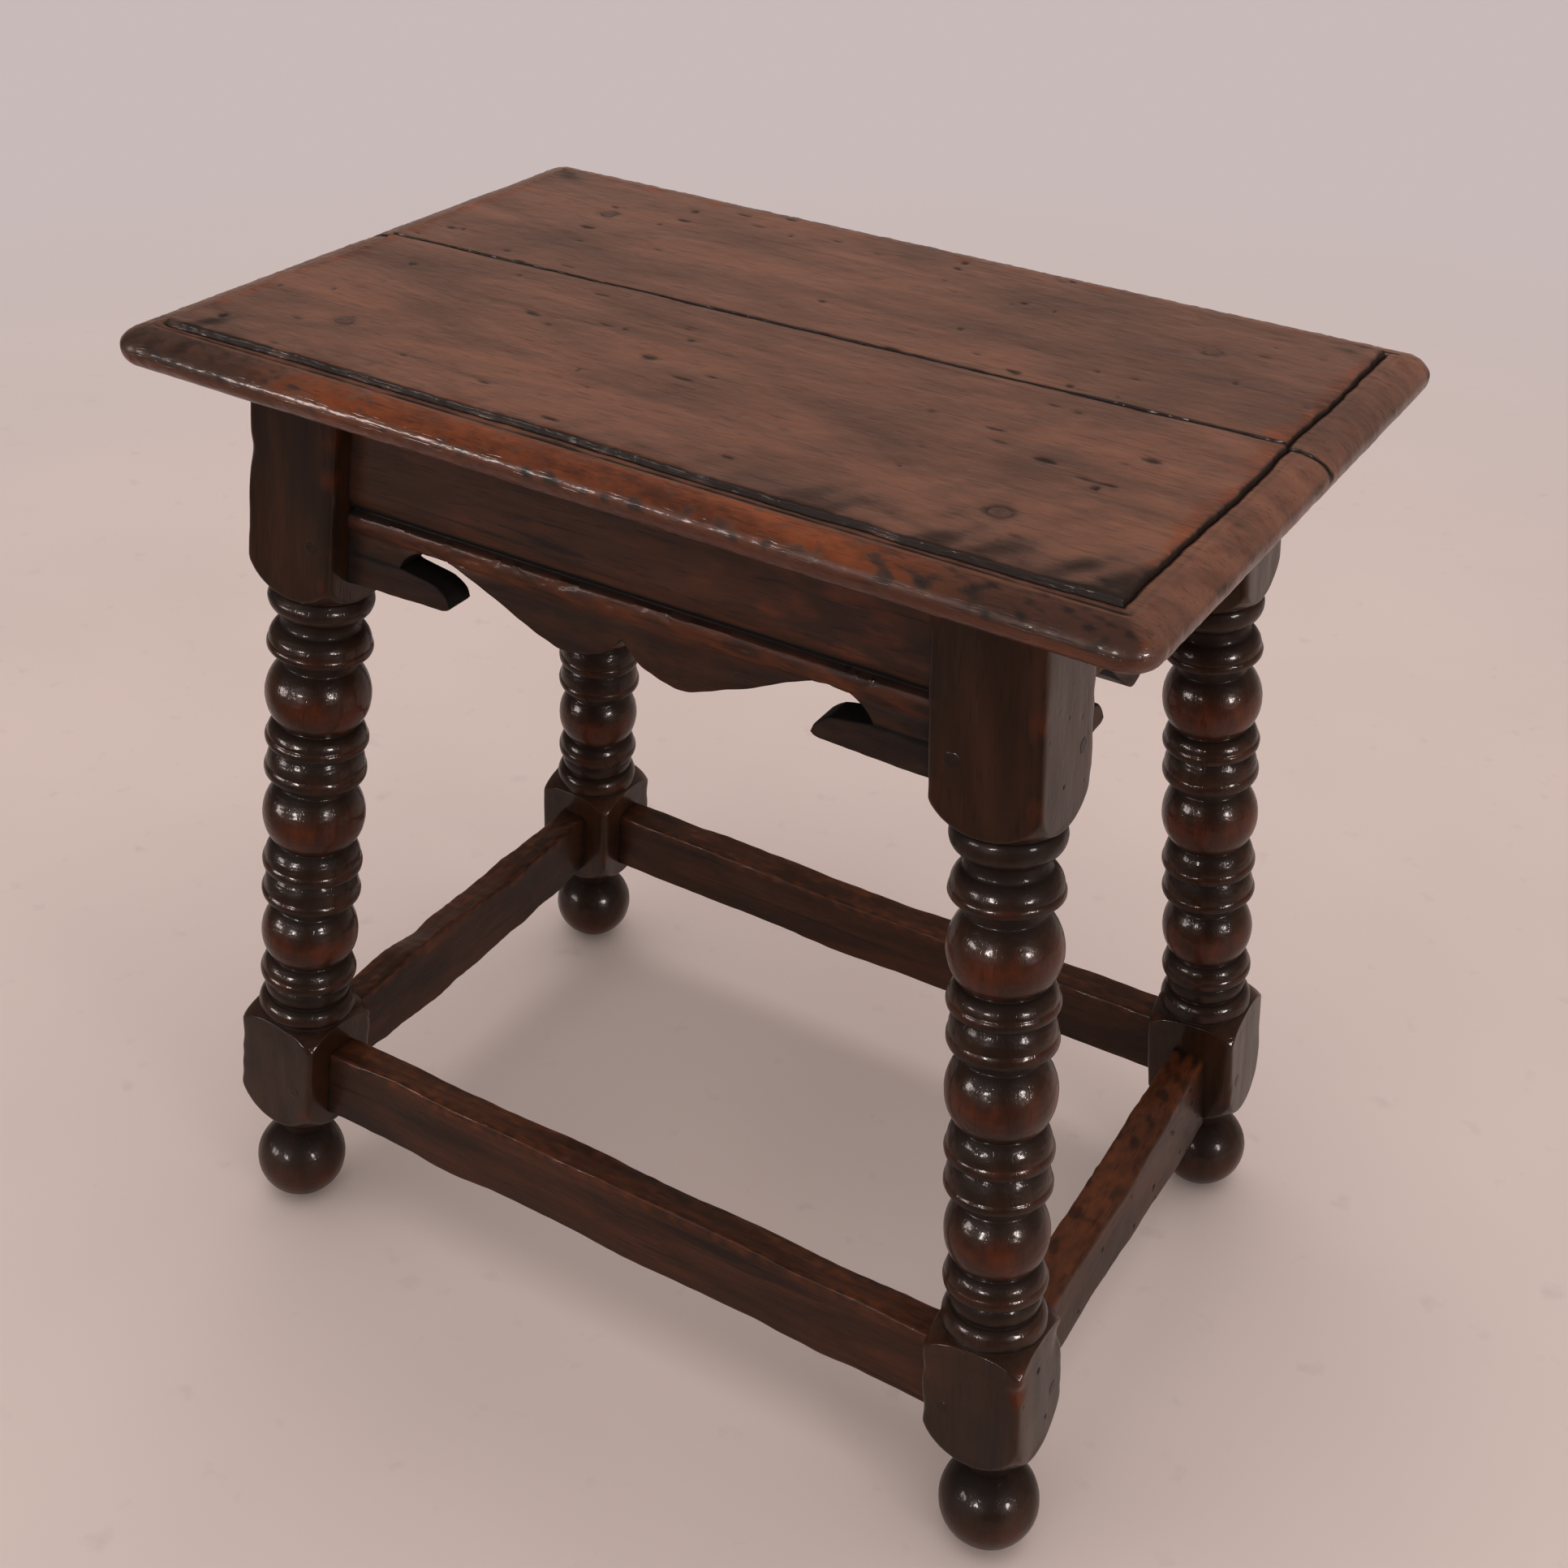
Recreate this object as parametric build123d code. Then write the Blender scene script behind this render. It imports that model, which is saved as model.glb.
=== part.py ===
from build123d import *
import os
from math import hypot

# Joint stool in oak. Four turned legs lean outward both ways. Rails and stretchers are tenoned
# into their square blocks and pegged, and a top of two boards is pegged down on the leg ends.
# Millimetres, +Z up, +X along the length, +Y to the back, origin on the floor under the middle.

# ---- driving dimensions ----
SEAT_HEIGHT = 530.0
TOP_THICKNESS = 20.0
TOP_UNDER = SEAT_HEIGHT - TOP_THICKNESS

# Legs: where the centre line meets the underside of the top, and how far it leans out per mm.
LEG_TOP_X = 172.5
LEG_TOP_Y = 110.5
SPLAY_X = 0.1075
SPLAY_Y = 0.0767
LEG_SQUARE = 51.0
LEG_HALF = LEG_SQUARE / 2
ARRIS_CLEAR = 0.05
BLOCK_RADIUS = hypot(LEG_HALF, LEG_HALF) + ARRIS_CLEAR
FOOT_RADIUS = 25.0
FOOT_CENTRE = 24.4
NECK_RADIUS = 11.0

# Top: the raised field, and the nosing that runs round it.
FIELD_LENGTH = 470.0
FIELD_WIDTH = 295.0
FIELD_RISE = 3.0
GROOVE_WIDTH = 5.5
NOSING_WIDTH = 15.0
NOSING_DROP = 9.0
UNDERCUT_WIDTH = 6.0
TOP_TURN = -1.26
SEAM_OFFSET = 10.7
SEAM_SLANT = 1.74
SEAM_V_HALF = 0.9
SEAM_V_DEPTH = 3.5

# Rails, as offsets from the leaning plane through the leg centres, outward positive.
RAIL_FACE = 13.5
RAIL_BACK = -3.5
RAIL_LOW = 413.5
COVE_TOP = 459.0
QUIRK_HEIGHT = 450.6
QUIRK_DEPTH = 3.3
BEAD_MIDDLE = 446.0
BEAD_PROUD = 0.3
BEAD_LOW = 440.6
LOWER_SETBACK = 1.2

# Lower edge of a rail: a cusp between two lobes, then an open slot over a hook at each leg.
CUSP_HEIGHT = 430.0
LOBE_SIDE_HEIGHT = 420.3
LOBE_LOW = 415.4
RISE_LOW_HEIGHT = 425.1
RISE_HIGH_HEIGHT = 435.6
SLOT_TOP = 440.9
SLOT_TURN_HEIGHT = 437.4
SLOT_CORNER_HEIGHT = 429.5
HOOK_TOP = 427.2
HOOK_TURN_HEIGHT = 424.2
HOOK_TIP_HEIGHT = 417.6
HOOK_UNDER = 415.0
FRONT_HOOK = 61.0
END_HOOK = 41.0

# Places along that edge. The lobes' are shares of the run from the rail's middle to the hook's tip.
# The hook's and the slot's are distances from the tip towards the leg, for the long rails' hook.
LOBE_SIDE_SHARE = 0.117
LOBE_LOW_SHARE = 0.295
RISE_LOW_SHARE = 0.623
RISE_HIGH_SHARE = 0.868
SLOT_TOP_RUN = 9.0
SLOT_TURN_RUN = 21.5
SLOT_CORNER_RUN = 28.7
HOOK_TOP_RUN = 11.7
HOOK_TURN_RUN = 4.9
HOOK_NOSE_RUN = 1.1
HOOK_NOSE_RISE = 0.9
HOOK_UNDER_RUN = 4.2

# Stretchers stand in the leg plane.
STRETCHER_HALF = 9.0
STRETCHER_LOW = 75.0
STRETCHER_HIGH = 119.0

# Tenons: offsets of the cheeks, heights of the edges and length, with a little room at the end.
RAIL_TENON_CHEEKS = (0.5, 10.5)
RAIL_TENON_EDGES = (426.0, 487.0)
RAIL_TENON_LENGTH = 22.0
STRETCHER_TENON_CHEEKS = (-4.0, 4.0)
STRETCHER_TENON_EDGES = (80.0, 114.0)
STRETCHER_TENON_LENGTH = 19.0
MORTISE_ROOM = 1.0

# Pegs, riven round. Side pegs sit this far in from the leg centre line, towards the joint.
PEG_RADIUS = 4.0
PEG_PROUD = 0.4
PEG_INSET = -14.0
PEG_INNER_END = -8.0
RAIL_PEG_HEIGHT = 434.0
STRETCHER_PEG_HEIGHT = 97.0
TOP_PEG_RADIUS = 5.0
TOP_PEG_DEPTH = 20.0
TOP_PEG_SPOTS = {
    "front_left": (-171.5, -99.0),
    "front_right": (164.5, -113.0),
    "back_left": (-164.5, 99.0),
    "back_right": (172.0, 94.0),
}

# Signs of X and Y at each leg.
CORNERS = {"front_left": (-1, -1), "front_right": (1, -1), "back_left": (-1, 1), "back_right": (1, 1)}

# A length that clears the whole stool, and the share of a radius at 45 degrees.
REACH = 400.0
COS_45 = 0.5**0.5

# Turned work from the top block down to the foot. Each row is one curved member of the turning:
# radius and height where it starts, at its fullest or hollowest point, and where it ends. A ring is
# round above and ends in a narrow upright rim, which is cut in sharply below.
TURNED_MEMBERS = (
    ((BLOCK_RADIUS, 418.0), (31.5, 407.5), (24.8, 401.0)),  # pommel under the top block
    ((23.2, 399.6), (25.0, 393.2), (19.4, 386.2)),  # cup
    ((18.8, 385.0), (18.3, 382.0), (18.8, 379.4)),  # neck
    ((19.4, 378.8), (23.0, 375.4), (24.8, 370.0)),  # first ring
    ((24.9, 369.8), (25.2, 367.8), (25.0, 365.9)),
    ((19.2, 364.8), (18.1, 361.0), (17.9, 357.6)),
    ((18.0, 357.0), (25.6, 339.0), (20.8, 324.8)),  # first ball
    ((19.6, 323.6), (22.9, 320.6), (24.8, 316.4)),  # paired rings
    ((24.9, 316.2), (25.2, 314.0), (25.0, 311.9)),
    ((20.0, 310.0), (23.2, 304.6), (24.8, 298.8)),
    ((24.9, 298.6), (25.2, 296.0), (25.0, 293.1)),
    ((19.2, 291.8), (18.2, 288.6), (18.0, 285.8)),
    ((18.1, 285.2), (25.6, 267.0), (20.7, 252.0)),  # second ball
    ((19.6, 250.6), (22.9, 245.6), (24.8, 239.8)),  # paired rings
    ((24.9, 239.6), (25.2, 237.2), (25.0, 234.8)),
    ((20.0, 232.8), (23.2, 226.8), (24.8, 221.0)),
    ((24.9, 220.8), (25.2, 218.6), (25.0, 216.4)),
    ((19.2, 215.0), (18.0, 211.6), (17.9, 208.4)),
    ((18.0, 207.8), (24.9, 190.0), (20.4, 176.0)),  # third ball
    ((19.4, 174.8), (22.6, 171.4), (24.4, 167.0)),  # last ring
    ((24.5, 166.8), (24.8, 164.4), (24.6, 161.8)),
    ((20.6, 160.0), (22.4, 154.4), (21.0, 149.6)),  # reel
    ((22.0, 148.4), (25.2, 143.0), (24.8, 138.6)),  # bead
    ((24.8, 137.0), (31.0, 133.5), (BLOCK_RADIUS, 126.0)),  # pommel over the lower block
    ((BLOCK_RADIUS, 92.0), (31.0, 74.0), (22.0, 64.0)),  # pommel under the lower block
)


def lean_x(height, offset=0.0):
    """X of the leaning plane through the right-hand legs, moved outward by an offset."""
    return LEG_TOP_X + SPLAY_X * (TOP_UNDER - height) + offset


def lean_y(height, offset=0.0):
    """Y of the leaning plane through the back legs, moved outward by an offset."""
    return LEG_TOP_Y + SPLAY_Y * (TOP_UNDER - height) + offset


def band(plane, lean, offsets, heights):
    """Long bar between two offsets of a leaning plane and two heights, drawn in an upright plane."""
    (inner, outer), (low, high) = offsets, heights
    outline = Polyline(
        (lean(low, inner), low),
        (lean(low, outer), low),
        (lean(high, outer), high),
        (lean(high, inner), high),
        close=True,
    )
    return extrude(plane * make_face(outline), REACH, both=True)


def along_x(offsets, heights):
    """Leaning bar that runs along X on the back side of the stool."""
    return band(Plane.YZ, lean_y, offsets, heights)


def along_y(offsets, heights):
    """Leaning bar that runs along Y on the right-hand side of the stool."""
    return band(Plane.XZ, lean_x, offsets, heights)


def to_corner(shape, side, depth):
    """Mirror a shape made in the back right corner into another corner."""
    if side < 0:
        shape = mirror(shape, about=Plane.YZ)
    if depth < 0:
        shape = mirror(shape, about=Plane.XZ)
    return shape


def both_ends(shape, about):
    """A shape and its mirror image."""
    return shape + mirror(shape, about=about)


# ---- legs ----
def turned_blank():
    """Leg turned about Z, with its blocks still round and its foot reaching the floor."""
    stretch = hypot(1.0, SPLAY_X, SPLAY_Y)
    outline = []
    pen = (BLOCK_RADIUS, (TOP_UNDER + LEG_HALF) * stretch)
    outline.append(Line((0, pen[1]), pen))
    for member in TURNED_MEMBERS:
        start, middle, end = ((radius, height * stretch) for radius, height in member)
        outline.append(Line(pen, start))
        outline.append(ThreePointArc(start, middle, end))
        pen = end
    centre = FOOT_CENTRE * stretch
    neck = (NECK_RADIUS, centre + (FOOT_RADIUS**2 - NECK_RADIUS**2) ** 0.5)
    pole = (0, centre - FOOT_RADIUS)
    outline.append(Line(pen, neck))
    outline.append(ThreePointArc(neck, (FOOT_RADIUS, centre), pole))
    outline.append(Line(pole, outline[0] @ 0))
    return revolve(Plane.XZ * make_face(outline), Axis.Z)


def squared_leg():
    """Back right leg: the turned blank set leaning and cut to its square, top and floor."""
    lean = Plane(origin=(lean_x(0), lean_y(0), 0), z_dir=(-SPLAY_X, -SPLAY_Y, 1))
    full = (0, TOP_UNDER)
    square = along_x((-LEG_HALF, LEG_HALF), full) & along_y((-LEG_HALF, LEG_HALF), full)
    return lean * turned_blank() & square


# ---- joints ----
def tenon_to_back_leg(cheeks, edges, length):
    """Tenon on the right end of a member along X, standing in the back right leg."""
    return along_x(cheeks, edges) & along_y((-LEG_HALF, length - LEG_HALF), edges)


def tenon_to_side_leg(cheeks, edges, length):
    """Tenon on the back end of a member along Y, standing in the back right leg."""
    return along_y(cheeks, edges) & along_x((-LEG_HALF, length - LEG_HALF), edges)


def peg_along_y(height):
    """Peg through the back face of the back right leg and the tenon of the member along X."""
    rod = Location((lean_x(height, PEG_INSET), 0, height), (90, 0, 0)) * Cylinder(PEG_RADIUS, 2 * REACH)
    return rod & along_x((PEG_INNER_END, LEG_HALF + PEG_PROUD), (0, TOP_UNDER))


def peg_along_x(height):
    """Peg through the outer face of the back right leg and the tenon of the member along Y."""
    rod = Location((0, lean_y(height, PEG_INSET), height), (0, 90, 0)) * Cylinder(PEG_RADIUS, 2 * REACH)
    return rod & along_y((PEG_INNER_END, LEG_HALF + PEG_PROUD), (0, TOP_UNDER))


def top_peg(corner):
    """Peg through the top into the end of one leg."""
    x, y = TOP_PEG_SPOTS[corner]
    length = TOP_THICKNESS + TOP_PEG_DEPTH
    return Pos(x, y, SEAT_HEIGHT - length / 2) * Cylinder(TOP_PEG_RADIUS, length)


# ---- rails ----
def rail_section(plane, lean):
    """Rail as a straight bar: flat face, cove, quirk and bead, then the face set back below."""

    def at(offset, height):
        return (lean(height, offset), height)

    lower_face = RAIL_FACE - LOWER_SETBACK
    quirk = at(RAIL_FACE - QUIRK_DEPTH, QUIRK_HEIGHT)
    cove_middle = at(RAIL_FACE - QUIRK_DEPTH / 3, (COVE_TOP + QUIRK_HEIGHT) / 2)
    bead_middle = at(RAIL_FACE + BEAD_PROUD, BEAD_MIDDLE)
    outline = [
        Line(at(RAIL_BACK, TOP_UNDER), at(RAIL_FACE, TOP_UNDER)),
        Line(at(RAIL_FACE, TOP_UNDER), at(RAIL_FACE, COVE_TOP)),
        ThreePointArc(at(RAIL_FACE, COVE_TOP), cove_middle, quirk),
        ThreePointArc(quirk, bead_middle, at(lower_face, BEAD_LOW)),
        Line(at(lower_face, BEAD_LOW), at(lower_face, RAIL_LOW)),
        Line(at(lower_face, RAIL_LOW), at(RAIL_BACK, RAIL_LOW)),
        Line(at(RAIL_BACK, RAIL_LOW), at(RAIL_BACK, TOP_UNDER)),
    ]
    return extrude(plane * make_face(outline), REACH, both=True)


def rail_pattern(plane, lean, hook):
    """Half of a rail's outline, from its middle to the leg's face, cut square through."""
    tip_run = lean(HOOK_TIP_HEIGHT, -LEG_HALF) - hook

    def lobe(share, height):
        return (share * tip_run, height)

    def claw(run, height):
        return (tip_run + run * hook / FRONT_HOOK, height)

    def shoulder(height):
        return (lean(height, -LEG_HALF), height)

    lobe_low = lobe(LOBE_LOW_SHARE, LOBE_LOW)
    rise = lobe(RISE_LOW_SHARE, RISE_LOW_HEIGHT), lobe(RISE_HIGH_SHARE, RISE_HIGH_HEIGHT)
    slot_top = claw(SLOT_TOP_RUN, SLOT_TOP)
    slot_corner = claw(SLOT_CORNER_RUN, SLOT_CORNER_HEIGHT)
    hook_top = claw(HOOK_TOP_RUN, HOOK_TOP)
    tip = claw(0, HOOK_TIP_HEIGHT)
    hook_under = claw(HOOK_UNDER_RUN, HOOK_UNDER)
    outline = [
        ThreePointArc((0, CUSP_HEIGHT), lobe(LOBE_SIDE_SHARE, LOBE_SIDE_HEIGHT), lobe_low),
        Spline(lobe_low, *rise, slot_top, tangents=[(1, 0), (1, 0)]),
        ThreePointArc(slot_top, claw(SLOT_TURN_RUN, SLOT_TURN_HEIGHT), slot_corner),
        Line(slot_corner, hook_top),
        ThreePointArc(hook_top, claw(HOOK_TURN_RUN, HOOK_TURN_HEIGHT), tip),
        ThreePointArc(tip, claw(HOOK_NOSE_RUN, HOOK_UNDER + HOOK_NOSE_RISE), hook_under),
        Line(hook_under, shoulder(RAIL_LOW)),
        Line(shoulder(RAIL_LOW), shoulder(TOP_UNDER)),
        Line(shoulder(TOP_UNDER), (0, TOP_UNDER)),
        Line((0, TOP_UNDER), (0, CUSP_HEIGHT)),
    ]
    return extrude(plane * make_face(outline), REACH, both=True)


def long_rail():
    """Rail along X on the back side, with both tenons bored for their pegs."""
    shaped = rail_section(Plane.YZ, lean_y) & both_ends(rail_pattern(Plane.XZ, lean_x, FRONT_HOOK), Plane.YZ)
    tenon = tenon_to_back_leg(RAIL_TENON_CHEEKS, RAIL_TENON_EDGES, RAIL_TENON_LENGTH)
    bored = tenon - peg_along_y(RAIL_PEG_HEIGHT)
    return shaped + both_ends(bored, Plane.YZ)


def end_rail():
    """Rail along Y on the right-hand side, with both tenons bored for their pegs."""
    shaped = rail_section(Plane.XZ, lean_x) & both_ends(rail_pattern(Plane.YZ, lean_y, END_HOOK), Plane.XZ)
    tenon = tenon_to_side_leg(RAIL_TENON_CHEEKS, RAIL_TENON_EDGES, RAIL_TENON_LENGTH)
    bored = tenon - peg_along_x(RAIL_PEG_HEIGHT)
    return shaped + both_ends(bored, Plane.XZ)


# ---- stretchers ----
def shoulder_to_shoulder(plane, lean, edges):
    """Wide block between the inner faces of two opposite legs."""
    low, high = edges
    reach_low = lean(low, -LEG_HALF)
    reach_high = lean(high, -LEG_HALF)
    outline = Polyline(
        (-reach_low, low),
        (reach_low, low),
        (reach_high, high),
        (-reach_high, high),
        close=True,
    )
    return extrude(plane * make_face(outline), REACH, both=True)


def long_stretcher():
    """Stretcher along X on the back side, with both tenons bored for their pegs."""
    edges = (STRETCHER_LOW, STRETCHER_HIGH)
    bar = along_x((-STRETCHER_HALF, STRETCHER_HALF), edges) & shoulder_to_shoulder(Plane.XZ, lean_x, edges)
    tenon = tenon_to_back_leg(STRETCHER_TENON_CHEEKS, STRETCHER_TENON_EDGES, STRETCHER_TENON_LENGTH)
    bored = tenon - peg_along_y(STRETCHER_PEG_HEIGHT)
    return bar + both_ends(bored, Plane.YZ)


def end_stretcher():
    """Stretcher along Y on the right-hand side, with both tenons bored for their pegs."""
    edges = (STRETCHER_LOW, STRETCHER_HIGH)
    bar = along_y((-STRETCHER_HALF, STRETCHER_HALF), edges) & shoulder_to_shoulder(Plane.YZ, lean_y, edges)
    tenon = tenon_to_side_leg(STRETCHER_TENON_CHEEKS, STRETCHER_TENON_EDGES, STRETCHER_TENON_LENGTH)
    bored = tenon - peg_along_x(STRETCHER_PEG_HEIGHT)
    return bar + both_ends(bored, Plane.XZ)


def mortised_leg():
    """Back right leg with its four mortises and the holes of its four side pegs."""
    leg = squared_leg()
    for tenon in (tenon_to_back_leg, tenon_to_side_leg):
        leg -= tenon(RAIL_TENON_CHEEKS, RAIL_TENON_EDGES, RAIL_TENON_LENGTH + MORTISE_ROOM)
        leg -= tenon(STRETCHER_TENON_CHEEKS, STRETCHER_TENON_EDGES, STRETCHER_TENON_LENGTH + MORTISE_ROOM)
    for height in (RAIL_PEG_HEIGHT, STRETCHER_PEG_HEIGHT):
        leg -= peg_along_x(height)
        leg -= peg_along_y(height)
    return leg


# ---- top ----
def nosing_outline():
    """Thumbnail nosing over an undercut, from the groove's edge out, height measured from the floor."""
    groove_floor = SEAT_HEIGHT - FIELD_RISE
    widest = groove_floor - NOSING_DROP
    undercut_x = NOSING_WIDTH - UNDERCUT_WIDTH * (1 - COS_45)
    undercut_middle = (undercut_x, widest - COS_45 * (widest - TOP_UNDER))
    undercut_end = (NOSING_WIDTH - UNDERCUT_WIDTH, TOP_UNDER)
    outline = [
        EllipticalCenterArc((0, widest), NOSING_WIDTH, NOSING_DROP, 0, arc_size=90),
        ThreePointArc((NOSING_WIDTH, widest), undercut_middle, undercut_end),
        Line(undercut_end, (0, TOP_UNDER)),
        Line((0, TOP_UNDER), (0, groove_floor)),
    ]
    return make_face(outline)


def moulded_top():
    """Both boards as one: the core, the raised field, four straight nosings and four round corners."""
    core_length = FIELD_LENGTH + 2 * GROOVE_WIDTH
    core_width = FIELD_WIDTH + 2 * GROOVE_WIDTH
    low = Align.CENTER, Align.CENTER, Align.MIN
    top = Pos(0, 0, TOP_UNDER) * Box(core_length, core_width, TOP_THICKNESS - FIELD_RISE, align=low)
    top += Pos(0, 0, TOP_UNDER) * Box(FIELD_LENGTH, FIELD_WIDTH, TOP_THICKNESS, align=low)
    outline = nosing_outline()
    long_run = Pos(0, core_width / 2, 0) * extrude(Plane.YZ * outline, core_length / 2, both=True)
    end_run = Pos(core_length / 2, 0, 0) * extrude(Plane.XZ * outline, core_width / 2, both=True)
    top += both_ends(long_run, Plane.XZ)
    top += both_ends(end_run, Plane.YZ)
    knob = revolve(Plane.XZ * outline, Axis.Z)
    for side, depth in CORNERS.values():
        top += Pos(side * core_length / 2, depth * core_width / 2, 0) * knob
    return top


def seam_side(depth):
    """Everything on one side of the slanting seam: depth +1 behind it, -1 in front."""
    block = Pos(0, depth * REACH / 2, TOP_UNDER) * Box(2 * REACH, REACH, REACH)
    return Pos(0, SEAM_OFFSET, 0) * Rot(0, 0, SEAM_SLANT) * block


def seam_opening():
    """Shallow V along the seam, where the arrises of the boards have worn away."""
    over = SEAM_V_HALF
    spread = SEAM_V_HALF * (SEAM_V_DEPTH + over) / SEAM_V_DEPTH
    outline = Polyline(
        (0, SEAT_HEIGHT - SEAM_V_DEPTH),
        (spread, SEAT_HEIGHT + over),
        (-spread, SEAT_HEIGHT + over),
        close=True,
    )
    groove = extrude(Plane.YZ * make_face(outline), REACH, both=True)
    return Pos(0, SEAM_OFFSET, 0) * Rot(0, 0, SEAM_SLANT) * groove


def board(depth, pegs):
    """One board of the top, turned a little on the frame, with its peg holes."""
    piece = Rot(0, 0, TOP_TURN) * ((moulded_top() & seam_side(depth)) - seam_opening())
    for peg in pegs:
        piece -= peg
    return piece


# ---- assembly ----
def side_pegs(height):
    """The eight pegs of one height, two in each leg."""
    pair = [peg_along_x(height), peg_along_y(height)]
    return [to_corner(peg, *signs) for signs in CORNERS.values() for peg in pair]


def stool():
    """Every node by name."""
    top_pegs = {corner: top_peg(corner) for corner in CORNERS}
    nodes = {
        "top_front_board": board(-1, [top_pegs["front_left"], top_pegs["front_right"]]),
        "top_rear_board": board(1, [top_pegs["back_left"], top_pegs["back_right"]]),
    }
    leg = mortised_leg()
    for corner, signs in CORNERS.items():
        nodes[corner + "_leg"] = to_corner(leg, *signs) - top_pegs[corner]
    members = {"rail": (long_rail(), end_rail()), "stretcher": (long_stretcher(), end_stretcher())}
    for kind, (long_member, end_member) in members.items():
        nodes["back_" + kind] = long_member
        nodes["front_" + kind] = mirror(long_member, about=Plane.XZ)
        nodes["right_" + kind] = end_member
        nodes["left_" + kind] = mirror(end_member, about=Plane.YZ)
    nodes["top_pegs"] = Compound(children=list(top_pegs.values()))
    nodes["rail_pegs"] = Compound(children=side_pegs(RAIL_PEG_HEIGHT))
    nodes["stretcher_pegs"] = Compound(children=side_pegs(STRETCHER_PEG_HEIGHT))
    return nodes


os.makedirs("parts", exist_ok=True)
for name, shape in stool().items():
    export_step(shape, f"parts/{name}.step")
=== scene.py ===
"""Joint stool in aged oak: the worn surfaces, finishes, floor and light that go over the joined frame.

Shapes are worked out in millimetres as grids of rings, X right, Y to the back, Z up, and put into
metres when the mesh is made. Each piece carries where it lies in its own plank or billet, how much
it is rubbed bare, and how much wax and dirt it holds together with the painted shade of places
where less light falls; the finishes read those.
"""

import math

import bmesh
import bpy
import numpy as np
from bpy.props import FloatProperty, FloatVectorProperty, PointerProperty
from bpy.types import Operator, Panel, PropertyGroup
from mathutils import Matrix, Vector


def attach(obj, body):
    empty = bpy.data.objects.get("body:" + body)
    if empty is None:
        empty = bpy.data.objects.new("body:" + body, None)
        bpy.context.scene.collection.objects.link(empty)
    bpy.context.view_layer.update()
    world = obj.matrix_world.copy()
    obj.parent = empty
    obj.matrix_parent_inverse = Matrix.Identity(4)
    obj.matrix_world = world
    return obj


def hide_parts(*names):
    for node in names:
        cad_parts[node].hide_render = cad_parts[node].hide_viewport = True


bl_info = {
    "name": "Joint stool",
    "version": (1, 0, 0),
    "blender": (4, 5, 0),
    "location": "View3D > Sidebar > Stool",
    "description": "Builds the worn oak surfaces, floor and light of a joint stool",
    "category": "Object",
}

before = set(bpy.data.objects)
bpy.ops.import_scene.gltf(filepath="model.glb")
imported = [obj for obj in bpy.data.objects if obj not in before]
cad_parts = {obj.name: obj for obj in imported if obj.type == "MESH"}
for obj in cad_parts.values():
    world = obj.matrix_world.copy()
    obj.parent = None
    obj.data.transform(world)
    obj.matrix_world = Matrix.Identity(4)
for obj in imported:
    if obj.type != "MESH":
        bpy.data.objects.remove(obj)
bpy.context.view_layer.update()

MM = 0.001
TURN = 2 * math.pi

# ---- sizes of the frame, millimetres ----
SEAT_HEIGHT = 530.0
TOP_UNDER = 510.0
LEG_TOP = (172.5, 110.5)
SPLAY = (0.1075, 0.0767)
LEG_HALF = 25.5
BLOCK_RADIUS = 36.1  # of the blank before it is squared, just clear of the square's corners
CORNERS = {"front_left": (-1, -1), "front_right": (1, -1), "back_left": (-1, 1), "back_right": (1, 1)}

# Hand turning: how much fuller or leaner each leg's turned length is than the pattern.
LEG_FULLNESS = {"front_left": 1.031, "front_right": 0.987, "back_left": 0.998, "back_right": 0.984}

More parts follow.
